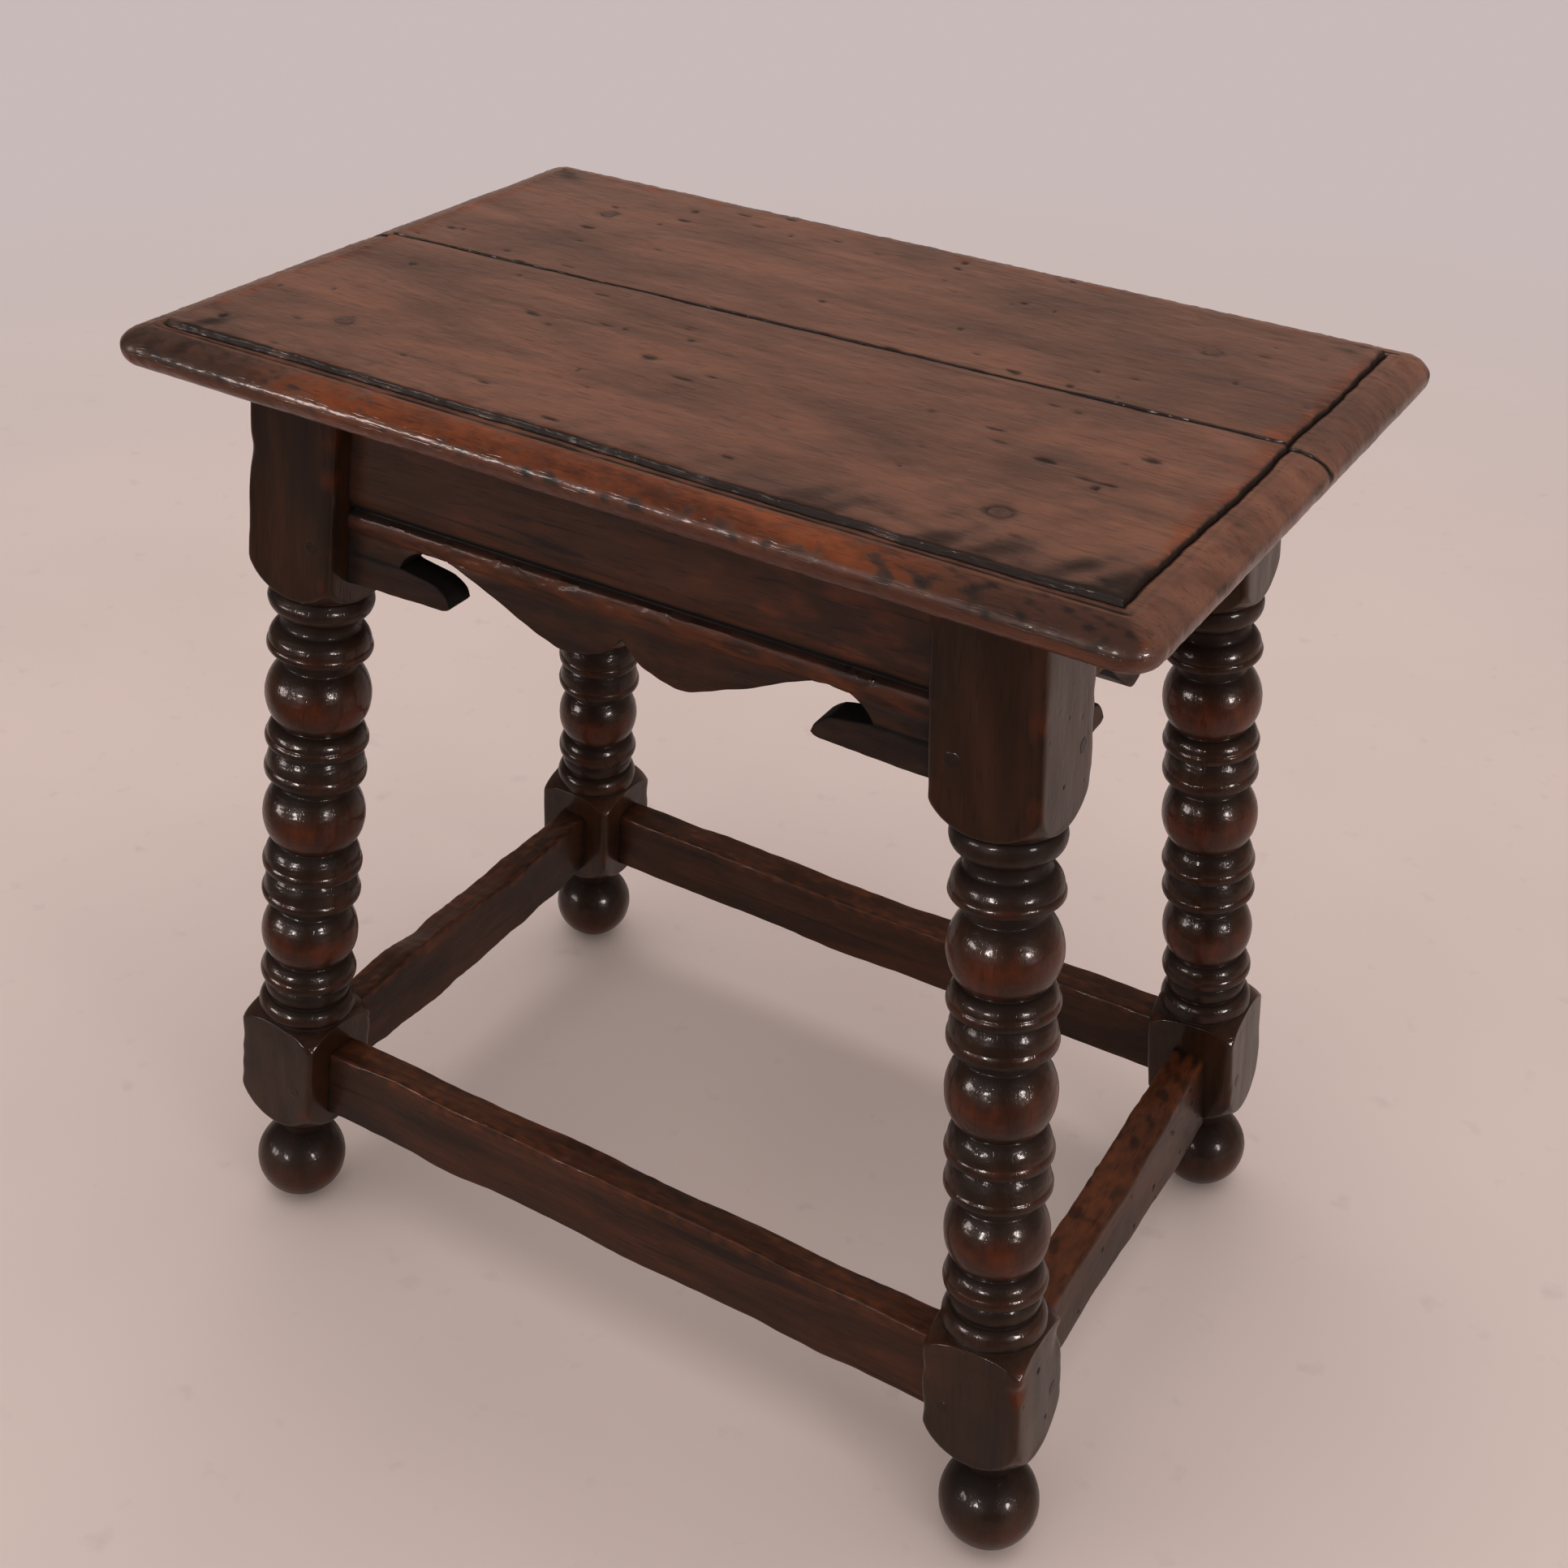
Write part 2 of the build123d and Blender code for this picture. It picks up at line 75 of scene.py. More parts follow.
# The turning from the top block to the foot: kind, then radius and height at the start, the middle
# and the end of the curve. A ring is round above and ends in a narrow rim, cut in sharply below.
MEMBERS = (
    ("pommel", (BLOCK_RADIUS, 418.0), (31.5, 407.5), (24.8, 401.0)),
    ("quirk", (24.6, 400.7), (23.2, 400.1), (22.8, 399.6)),
    ("cup", (23.2, 399.4), (25.0, 393.2), (19.4, 386.2)),
    ("neck", (19.1, 385.8), (18.3, 382.2), (19.2, 379.2)),
    ("ring", (19.5, 378.9), (23.0, 375.4), (24.5, 370.4)),
    ("rim", (24.4, 370.3), (25.3, 368.4), (24.9, 366.0)),
    ("under", (24.6, 365.7), (22.2, 365.2), (19.5, 364.9)),
    ("neck", (19.1, 364.6), (18.1, 361.0), (17.9, 357.6)),
    ("ball", (18.1, 357.1), (25.6, 339.0), (20.9, 325.0)),
    ("quirk", (20.5, 324.6), (19.4, 324.1), (19.6, 323.5)),
    ("ring", (19.9, 323.2), (22.9, 320.6), (24.3, 316.7)),
    ("rim", (24.3, 316.6), (25.3, 314.5), (24.9, 311.9)),
    ("under", (24.6, 311.6), (22.8, 311.2), (20.6, 310.8)),
    ("ring", (20.4, 310.0), (23.2, 304.6), (24.3, 299.1)),
    ("rim", (24.3, 299.0), (25.3, 296.3), (24.9, 293.1)),
    ("under", (24.6, 292.8), (22.2, 292.3), (19.5, 292.0)),
    ("neck", (19.1, 291.6), (18.2, 288.6), (18.0, 285.8)),
    ("ball", (18.2, 285.3), (25.6, 267.0), (20.8, 252.2)),
    ("quirk", (20.4, 251.8), (19.4, 251.2), (19.6, 250.6)),
    ("ring", (19.9, 250.3), (22.9, 245.6), (24.3, 240.2)),
    ("rim", (24.3, 240.1), (25.3, 237.7), (24.9, 234.8)),
    ("under", (24.6, 234.5), (22.8, 234.1), (20.6, 233.6)),
    ("ring", (20.4, 232.8), (23.2, 226.8), (24.3, 221.2)),
    ("rim", (24.3, 221.1), (25.3, 219.0), (24.9, 216.4)),
    ("under", (24.6, 216.1), (22.2, 215.6), (19.5, 215.2)),
    ("neck", (19.1, 214.8), (18.0, 211.6), (17.9, 208.4)),
    ("ball", (18.0, 207.9), (24.9, 190.0), (20.5, 176.2)),
    ("quirk", (20.2, 175.8), (19.2, 175.2), (19.4, 174.7)),
    ("ring", (19.7, 174.4), (22.6, 171.2), (23.9, 167.3)),
    ("rim", (23.9, 167.2), (24.9, 164.8), (24.5, 161.8)),
    ("under", (24.2, 161.5), (22.6, 161.1), (20.9, 160.6)),
    ("reel", (20.6, 160.0), (22.4, 154.4), (20.9, 149.4)),
    ("quirk", (20.7, 149.1), (20.9, 148.7), (21.8, 148.4)),
    ("bead", (22.1, 148.2), (25.2, 143.0), (24.8, 138.6)),
    ("quirk", (24.5, 138.2), (24.1, 137.8), (24.5, 137.3)),
    ("pommel", (24.8, 137.0), (31.0, 133.5), (BLOCK_RADIUS, 126.0)),
    ("block", (BLOCK_RADIUS, 125.0), (BLOCK_RADIUS, 109.0), (BLOCK_RADIUS, 93.0)),
    ("pommel", (BLOCK_RADIUS, 92.0), (31.0, 74.0), (22.0, 64.0)),
    ("neck", (21.6, 63.4), (16.0, 55.6), (11.2, 47.4)),
    ("foot", (11.0, 46.8), (25.0, 24.4), (0.5, -0.6)),
)

# How far apart the rings of the mesh are on a kind of member, where that isn't FINE_SPACING.
MEMBER_SPACING = {"block": 2.2, "foot": 1.1, "neck": 0.9, "ball": 0.8}
FINE_SPACING = 0.55

# Points round a leg, rows of its top block, and the height where that block's rows end.
LEG_POINTS = 136
BLOCK_ROWS = 44
BLOCK_END = 419.5

# The two large knocks on top of the front right leg's lower block: their heights, sizes and depths.
KNOCK_LEVEL = 124.0
KNOCK_HEIGHTS = (124.5, 123.0)
KNOCK_SIZES = ((5.0, 5.0, 4.0), (10.0, 10.0, 8.0))
KNOCK_DEPTHS = (2.4, 3.2)

# How rubbed bare and how darkened each kind of member is: a value at its start, middle and end.
# The darkening is dirt together with painted shade, deepest in quirks, necks, under the rims and
# where one member meets the next.
TONES = {
    "pommel": ((0.1, 0.1, 0.1), (0.1, 0.15, 0.5)),
    "quirk": ((0.0, 0.0, 0.0), (1.0, 1.0, 1.0)),
    "cup": ((0.0, 0.15, 0.0), (0.8, 0.5, 0.9)),
    "neck": ((0.0, 0.1, 0.1), (1.0, 0.75, 0.8)),
    "ring": ((0.0, 0.15, 0.25), (0.95, 0.5, 0.3)),
    "rim": ((0.34, 0.3, 0.16), (0.15, 0.3, 0.65)),
    "under": ((0.1, 0.0, 0.0), (0.9, 1.0, 1.0)),
    "ball": ((0.0, 0.62, 0.26), (0.7, 0.0, 0.5)),
    "reel": ((0.0, 0.2, 0.0), (0.9, 0.5, 0.9)),
    "bead": ((0.1, 0.3, 0.2), (0.6, 0.35, 0.7)),
    "block": ((0.08, 0.08, 0.08), (0.15, 0.1, 0.15)),
    "foot": ((0.1, 0.4, 0.3), (0.9, 0.3, 0.8)),
}

# Top: overall size, nosing, groove, seam and peg places, before the top is turned on the frame.
TOP_HALF = (255.5, 168.0)
TOP_TURN = math.radians(-1.26)
NOSING = 15.0
NOSING_RISE = 9.0
END_NOSING = 18.4
END_RISE = 9.6
UNDERCUT = 6.0
UNDERCUT_RISE = 8.0
FIELD_INSET = 20.5
EDGE_LEVEL = 518.0
SEAM_OFFSET = 10.7
SEAM_SLOPE = 0.0303
TOP_PEG_RADIUS = 5.0
TOP_PEGS = ((-171.5, -99.0), (164.5, -113.0), (-164.5, 99.0), (172.0, 94.0))

# Rail moulding, as offsets from the leaning plane through the leg centres.
RAIL_FACE = 13.5
RAIL_BACK = -3.5
COVE_TOP = 459.0
QUIRK = 450.6
BEAD_LOW = 440.6
LOWER_SETBACK = 1.2
SHARED_LINE = 429.5

# Lower edge of a rail. Lobes: share of the run to the hook's tip, and height. Slot and hook: run
# from the tip towards the leg for a 61 mm hook, and height.
LOBES = (
    (0.0, 430.0), (0.068, 423.5), (0.118, 420.3), (0.203, 416.9), (0.296, 415.4), (0.365, 415.7),
    (0.467, 418.9), (0.625, 425.1), (0.787, 431.9), (0.870, 435.6), (0.976, 439.5),
)
SLOT = (
    (5.0, 440.7), (9.2, 440.9), (16.9, 440.0), (21.7, 437.4), (25.4, 434.6), (28.4, 430.6),
    (28.7, SHARED_LINE),
)
TIP_HEIGHT = 417.6
HOOK_TOP = (
    (0.0, TIP_HEIGHT), (0.5, 420.0), (1.8, 422.0), (4.9, 424.6), (8.0, 426.4), (11.7, 427.2),
    (28.7, SHARED_LINE),
)
HOOK_LOW = ((0.0, 417.2), (0.6, 416.2), (1.6, 415.6), (4.2, 415.0), (60.0, 413.5))
LONG_HOOK = 61.0
END_HOOK = 41.0

STRETCHER_HALF = 9.0
PEG_RADIUS = 4.0
PEG_INSET = -14.0
PEG_HEIGHTS = {"rail_pegs": 434.0, "stretcher_pegs": 97.0}

# The rails and stretchers: name, the side they run along (1 is X, 0 is Y), and their face's way out.
SIDES = (("front", 1, -1), ("back", 1, 1), ("left", 0, -1), ("right", 0, 1))

# First number of each piece's random draws, and the step from one like piece to the next.
SEEDS = {"leg": (100, 17), "board": (203, 18), "rail": (301, 16), "stretcher": (401, 26)}
SIDE_PEG_SEED = 500
TOP_PEG_SEED = 540

# Edges sharper than this are kept sharp, and points nearer than this are one point, in metres.
SHARP_ANGLE = math.radians(50)
WELD = 1e-7


# ---- number work ----
def unit(vector):
    """The same direction with length one."""
    return vector / np.linalg.norm(vector, axis=-1, keepdims=True)


def ease(value, low, high):
    """0 below low, 1 above high, and a smooth step between: 3t squared less 2t cubed."""
    t = np.clip((value - low) / (high - low), 0.0, 1.0)
    return t * t * (3 - 2 * t)


def wander(points, wavelength, seed, waves=18):
    """Soft random swell of about -1 to 1: the sum of plane waves with random headings and lengths."""
    rng = np.random.default_rng(seed)
    heading = unit(rng.normal(size=(waves, 3)))
    number = heading * rng.uniform(0.6, 1.7, (waves, 1)) * TURN / np.asarray(wavelength, float)
    phase = rng.uniform(0, TURN, waves)
    return np.cos(points @ number.T + phase).sum(-1) / math.sqrt(waves)


def mottled(points, wavelength, seed):
    """The same swell as a share of about 0 to 1."""
    return 0.5 + 0.5 * wander(points, wavelength, seed)


def line_of(run):
    """Points on a straight line, for a swell that changes only along a piece."""
    return np.stack([run, 0 * run, 0 * run], -1)


def dents(points, centres, sizes, depths):
    """Sum of bell-shaped hollows: depth times e to the minus squared distance over size squared."""
    total = np.zeros(points.shape[:-1])
    for centre, size, depth in zip(centres, sizes, depths):
        gap = (points - centre) / size
        total += depth * np.exp(-(gap**2).sum(-1))
    return total


def smooth_curve(table, step=0.25, spread=1.2):
    """A polyline of (run, height) resampled at even steps and rounded with a bell of that spread."""
    table = np.array(table, float)
    run = np.arange(table[0, 0], table[-1, 0] + step / 2, step)
    height = np.interp(run, table[:, 0], table[:, 1])
    half = int(3 * spread / step)
    bell = np.exp(-0.5 * (np.arange(-half, half + 1) * step / spread) ** 2)
    slope = height[1] - height[0], height[-1] - height[-2]
    before = height[0] + slope[0] * np.arange(-half, 0)
    after = height[-1] + slope[1] * np.arange(1, half + 1)
    rounded = np.convolve(np.concatenate([before, height, after]), bell / bell.sum(), "valid")
    return run, rounded


def arc_points(start, middle, end, spacing):
    """Points of the circle through three points, from start to end, and their shares of the way."""
    a, b, c = (np.array(p, float) for p in (start, middle, end))
    chord, sag = b - a, c - a
    cross = 2 * (chord[0] * sag[1] - chord[1] * sag[0])
    if abs(cross) < 1e-6:
        share = np.linspace(0, 1, max(2, int(np.linalg.norm(sag) / spacing) + 1))
        return a + share[:, None] * sag, share
    chord_square, sag_square = chord @ chord, sag @ sag
    centre_x = sag[1] * chord_square - chord[1] * sag_square
    centre_y = chord[0] * sag_square - sag[0] * chord_square
    centre = a + np.array([centre_x, centre_y]) / cross
    radius = np.linalg.norm(a - centre)
    angles = [math.atan2(*(p - centre)[::-1]) for p in (a, b, c)]
    turn = (angles[2] - angles[0]) % TURN
    if (angles[1] - angles[0]) % TURN > turn:
        turn -= TURN
    share = np.linspace(0, 1, max(3, int(abs(turn) * radius / spacing) + 1))
    angle = angles[0] + share * turn
    return centre + radius * np.stack([np.cos(angle), np.sin(angle)], -1), share


def turned(x, y, angle):
    """X and Y after a turn about the upright."""
    return math.cos(angle) * x - math.sin(angle) * y, math.sin(angle) * x + math.cos(angle) * y


def own_timber(local, shift, share):
    """Places in a piece's own timber: moved by some shares of a shift, so that no two look alike."""
    return local + np.array(shift) * share


# ---- meshes ----
def patch(points, grain, wear, grime_and_shade, capped=True, bored=0.0):
    """One closed tube of rings with what the finish needs to know at each point."""
    shape = points.shape[:2]
    return {
        "points": points,
        "grain": np.broadcast_to(grain, points.shape),
        "wear": np.broadcast_to(np.clip(wear, 0, 1), shape),
        "grime_and_shade": np.broadcast_to(np.clip(grime_and_shade, 0, 1), shape),
        "bored": np.broadcast_to(bored, shape),
        "capped": capped,
    }


def tube_faces(rings, count, capped):
    """Quads between rings that close on themselves, and a fan over each end if it is capped."""
    index = np.arange(rings * count).reshape(rings, count)
    beside = np.roll(index, -1, axis=1)
    quads = np.stack([index[:-1], beside[:-1], beside[1:], index[1:]], -1).reshape(-1, 4)
    if not capped:
        return quads, np.zeros((0, 3), int)
    low = np.full(count, rings * count)
    fans = [np.stack([low, beside[0], index[0]], -1), np.stack([low + 1, index[-1], beside[-1]], -1)]
    return quads, np.concatenate(fans)


def enclosed(points, quads, tris):
    """Signed volume of a closed surface: positive where its faces look outward."""
    fan = np.concatenate([quads[:, :3], quads[:, [0, 2, 3]], tris])
    a, b, c = (points[fan[:, k]] for k in range(3))
    return np.einsum("ij,ij->i", a, np.cross(b, c)).sum() / 6


def make_piece(name, patches, weld=False):
    """One mesh object from closed tubes, with its grain, wear, and grime with painted shade as point
    attributes.
    """
    fields = {"points": [], "grain": [], "wear": [], "grime_and_shade": [], "bored": []}
    faces, start = [], 0
    for one in patches:
        flat = {key: np.array(one[key], float).reshape(-1, *one[key].shape[2:]) for key in fields}
        if one["capped"]:
            ends = {key: [one[key][0].mean(0), one[key][-1].mean(0)] for key in fields}
            flat = {key: np.concatenate([flat[key], ends[key]]) for key in fields}
        quads, tris = tube_faces(*one["points"].shape[:2], one["capped"])
        if enclosed(flat["points"], quads, tris) < 0:
            quads, tris = quads[:, ::-1], tris[:, ::-1]
        faces += [(quads + start, 4), (tris + start, 3)]
        start += len(flat["points"])
        for key in fields:
            fields[key].append(flat[key])
    fields = {key: np.concatenate(value) for key, value in fields.items()}
    loops = np.concatenate([face.ravel() for face, _ in faces])
    sizes = np.concatenate([np.full(len(face), size) for face, size in faces])
    mesh = bpy.data.meshes.new(name)
    mesh.vertices.add(len(fields["points"]))
    mesh.vertices.foreach_set("co", (fields["points"] * MM).astype(np.float32).ravel())
    mesh.loops.add(len(loops))
    mesh.loops.foreach_set("vertex_index", loops.astype(np.int32))
    mesh.polygons.add(len(sizes))
    mesh.polygons.foreach_set("loop_start", (np.cumsum(sizes) - sizes).astype(np.int32))
    mesh.update(calc_edges=True)
    grain = mesh.attributes.new("grain", "FLOAT_VECTOR", "POINT")
    grain.data.foreach_set("vector", (fields["grain"] * MM).ravel())
    for key in ("wear", "grime_and_shade", "bored"):
        mesh.attributes.new(key, "FLOAT", "POINT").data.foreach_set("value", fields[key].ravel())
    if weld:
        work = bmesh.new()
        work.from_mesh(mesh)
        bmesh.ops.remove_doubles(work, verts=work.verts, dist=WELD)
        bmesh.ops.dissolve_degenerate(work, edges=work.edges, dist=WELD)
        work.to_mesh(mesh)
        work.free()
    mesh.validate()
    mesh.shade_smooth()
    mesh.set_sharp_from_angle(angle=SHARP_ANGLE)
    piece = bpy.data.objects.new(name, mesh)
    bpy.context.scene.collection.objects.link(piece)
    return piece


def fit_piece(piece, nodes, material):
    """Set a piece on the frame in place of CAD nodes and finish."""
    piece.data.materials.append(material)
    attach(piece, "root")
    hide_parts(*nodes)


def lean(side, height, offset=0.0):
    """Distance from the middle of the leaning plane through the leg centres: side 0 is X, 1 is Y."""
    return LEG_TOP[side] + SPLAY[side] * (TOP_UNDER - height) + offset


def place_bar(along, offset, height, side, sign):
    """Places of a rail's or stretcher's points, from its length, its offset outward and the height."""
    across = sign * lean(side, height, offset)
    return np.stack([along, across, height] if side == 1 else [across, along, height], -1)


# ---- legs ----
def leg_rows():
    """The leg's outline down from under the top block, as radius, height, wear, and grime with painted shade
    in rows.
    """
    rows = []
    for kind, *curve in MEMBERS:
        points, share = arc_points(*curve, MEMBER_SPACING.get(kind, FINE_SPACING))
        tones = [np.interp(share, (0, 0.5, 1), values) for values in TONES[kind]]
        rows.append(np.column_stack([points, *tones]))
    return np.concatenate(rows)


def leg_surface(corner, seed, wear_size):
    """Turned leg: at each height the lesser of the turned radius and a square worn at its arrises.

    The square's reach in a direction is its half width over the p-norm of that direction measured
    square to its two leaning faces; a lower p is a more worn arris.
    """
    side, depth = CORNERS[corner]
    up = unit(np.array([-side * SPLAY[0], -depth * SPLAY[1], 1.0]))
    stretch = 1 / up[2]
    across = unit(np.array([1.0, 0, 0]) - up[0] * up)
    away = np.cross(up, across)
    base = np.array([side * lean(0, 0), depth * lean(1, 0), 0.0])
    step = np.linspace(0, TURN, LEG_POINTS, endpoint=False)
    angle = step + 0.13 * np.sin(4 * step)
    ray = np.cos(angle)[:, None] * across + np.sin(angle)[:, None] * away
    faces = np.abs(np.stack([ray @ [1, 0, side * SPLAY[0]], ray @ [0, 1, depth * SPLAY[1]]]))

    block = np.tile([BLOCK_RADIUS, 0.0, 0.1, 0.12], (BLOCK_ROWS, 1))
    block[:, 1] = np.linspace(TOP_UNDER, BLOCK_END, BLOCK_ROWS)
    radius, height, wear, grime_and_shade = np.concatenate([block, leg_rows()]).T
    turned = ease(height, 138.5, 142.0) * (1 - ease(height, 394.0, 399.0))
    foot = 1 - ease(height, 58.0, 64.0)
    radius = radius * (1 + (LEG_FULLNESS[corner] - 1) * turned)
    half = LEG_HALF + 1.5 * np.maximum(turned, foot)

    spine = base + (height * stretch)[:, None] * up
    ring = spine[:, None] + LEG_HALF * ray
    worn = 1.0 + 0.28 * wander(ring, (40, 40, 30), seed)
    power = np.clip(24.0 / (np.maximum(worn, 0.35) * wear_size), 7, 60)
    square = half[:, None] / (faces[0] ** power + faces[1] ** power) ** (1 / power)
    blockness = ease(radius, 26.5, 30.0)[:, None]
    square = square + blockness * (0.12 * wander(ring, (16, 16, 80), seed + 1) - 0.12)
    lathe = radius[:, None] * (1 + 0.004 * wander(ring, 30, seed + 2))
    lathe = lathe + 0.05 * wander(ring, (9, 9, 2.5), seed + 3)
    blend = 0.22
    reach = -blend * np.logaddexp(-square / blend, -lathe / blend)

    place = spine[:, None] + reach[..., None] * ray
    inward = dents(place, *leg_chips(corner, base, up, stretch, seed))
    reach = reach - inward * np.maximum(blockness, 0.25)
    place = spine[:, None] + reach[..., None] * ray

    # The top block's rings slide along the leg from level across it to level with the top.
    top = np.flatnonzero(height > BLOCK_END - 0.5)
    share = ((height[top] - BLOCK_END) / (TOP_UNDER - BLOCK_END))[:, None, None]
    lowest = place[top[-1]]
    lift = ((TOP_UNDER - lowest[:, 2]) / up[2])[:, None]
    uneven = (reach[top] - reach[top[-1]])[..., None] * np.sin(np.pi * share)
    place[top] = lowest + share * lift * up + uneven * ray
    place[..., 2] = np.maximum(place[..., 2], 0.0)

    local = place - base
    grain = np.stack([local @ up, local @ across, local @ away], -1)
    grain = own_timber(grain, (300.0, 57.0, 91.0), seed % 7)
    corner_near = ease(faces.min(0), 0.52, 0.66) * blockness
    patchy = mottled(ring, 26, seed + 4)
    wear_at = (wear[:, None] + 0.2 * corner_near * patchy) * (0.75 + 0.4 * patchy)
    # Painted shade: the block darkens within 16 mm under the seat.
    shade_under_top = 1 - ease(TOP_UNDER - height, 0, 16)
    grime_and_shade_at = grime_and_shade[:, None] * (0.85 + 0.3 * patchy) + 0.5 * shade_under_top[:, None]
    flank = ease(ray[:, 0], 0.72, 0.8) * (corner == "front_right")
    bored = flank * blockness * ease(wander(ring, 30, seed + 5), -0.1, 0.7)
    return patch(place, grain, wear_at, grime_and_shade_at, bored=bored)


def leg_chips(corner, base, up, stretch, seed):
    """Places, sizes and depths of the knocks on one leg's arrises, in millimetres."""
    rng = np.random.default_rng(seed + 50)
    count = 26
    on_top_block = rng.uniform(404, 500, count // 2)
    heights = np.concatenate([on_top_block, rng.uniform(70, 134, count - count // 2)])
    ways = rng.integers(0, 4, count)
    reach = LEG_HALF * 0.98
    offsets = np.stack([np.where(ways % 2, 1, -1) * reach, np.where(ways // 2, 1, -1) * reach], -1)
    centres = base + (heights * stretch)[:, None] * up + np.column_stack([offsets, np.zeros(count)])
    sizes = rng.uniform(1.4, 4.0, (count, 1)) * np.array([1, 1, 1.6])
    depths = rng.uniform(0.1, 0.8, count)
    if corner == "front_right":
        on_arrises = np.column_stack([[reach, reach], [-reach, reach], KNOCK_HEIGHTS])
        knocks = base + on_arrises + (KNOCK_LEVEL * (stretch * up - [0, 0, 1]))
        centres = np.concatenate([centres, knocks])
        sizes = np.concatenate([sizes, KNOCK_SIZES])
        depths = np.append(depths, KNOCK_DEPTHS)
    return centres, sizes, depths


# ---- top ----
# Insets of the grid lines from the outer edge and from the seam, and the groove beside the nosing as
# inset and height, on the long edges and on the ends.
EDGE_LINES = np.array([
    0, 0.06, 0.2, 0.45, 0.8, 1.25, 1.8, 2.5, 3.3, 4.2, 5.3, 6.5, 7.9, 9.4, 11.0, 12.7, 14.2, 15.0,
    15.35, 15.8, 16.3, 17.0, 17.8, 18.5, 19.0, 19.4, 19.8, 20.2, 20.5, 20.65, 20.9, 21.3, 21.9, 22.8, 24.0,
])
SEAM_LINES = np.array([4.0, 2.8, 2.1, 1.65, 1.35, 1.15, 0.95, 0.7, 0.42, 0.18, 0.0])
LONG_PROFILE = np.array([
    (15.0, 527.0), (15.35, 526.7), (15.8, 526.4), (16.3, 526.7), (17.0, 526.9), (18.5, 526.9),
    (19.0, 526.6), (19.4, 526.3), (19.8, 526.0), (20.2, 526.1), (20.5, 527.3), (20.65, 528.4),
    (20.9, 529.2), (21.3, 529.6), (21.9, 529.78), (22.8, 529.85),
])
END_PROFILE = np.array([
    (18.4, 527.6), (19.0, 527.3), (19.4, 526.8), (19.8, 526.2), (20.2, 526.2), (20.5, 527.2),
    (20.65, 528.0), (20.9, 528.8), (21.3, 529.35), (21.9, 529.7), (22.8, 529.85),
])


def nosing_height(inset, full, rise):
    """Quarter of an ellipse: level at the edge plus rise times the root of one less the share squared."""
    share = np.clip((full - inset) / full, 0, 1)
    return EDGE_LEVEL + rise * np.sqrt(1 - share**2)


def seam_at(x):
    """Y of the seam between the boards, in the top's own frame."""
    place = line_of(x)
    return SEAM_OFFSET + SEAM_SLOPE * x + 0.28 * wander(place, 55, 71) + 0.12 * wander(place, 9, 72)


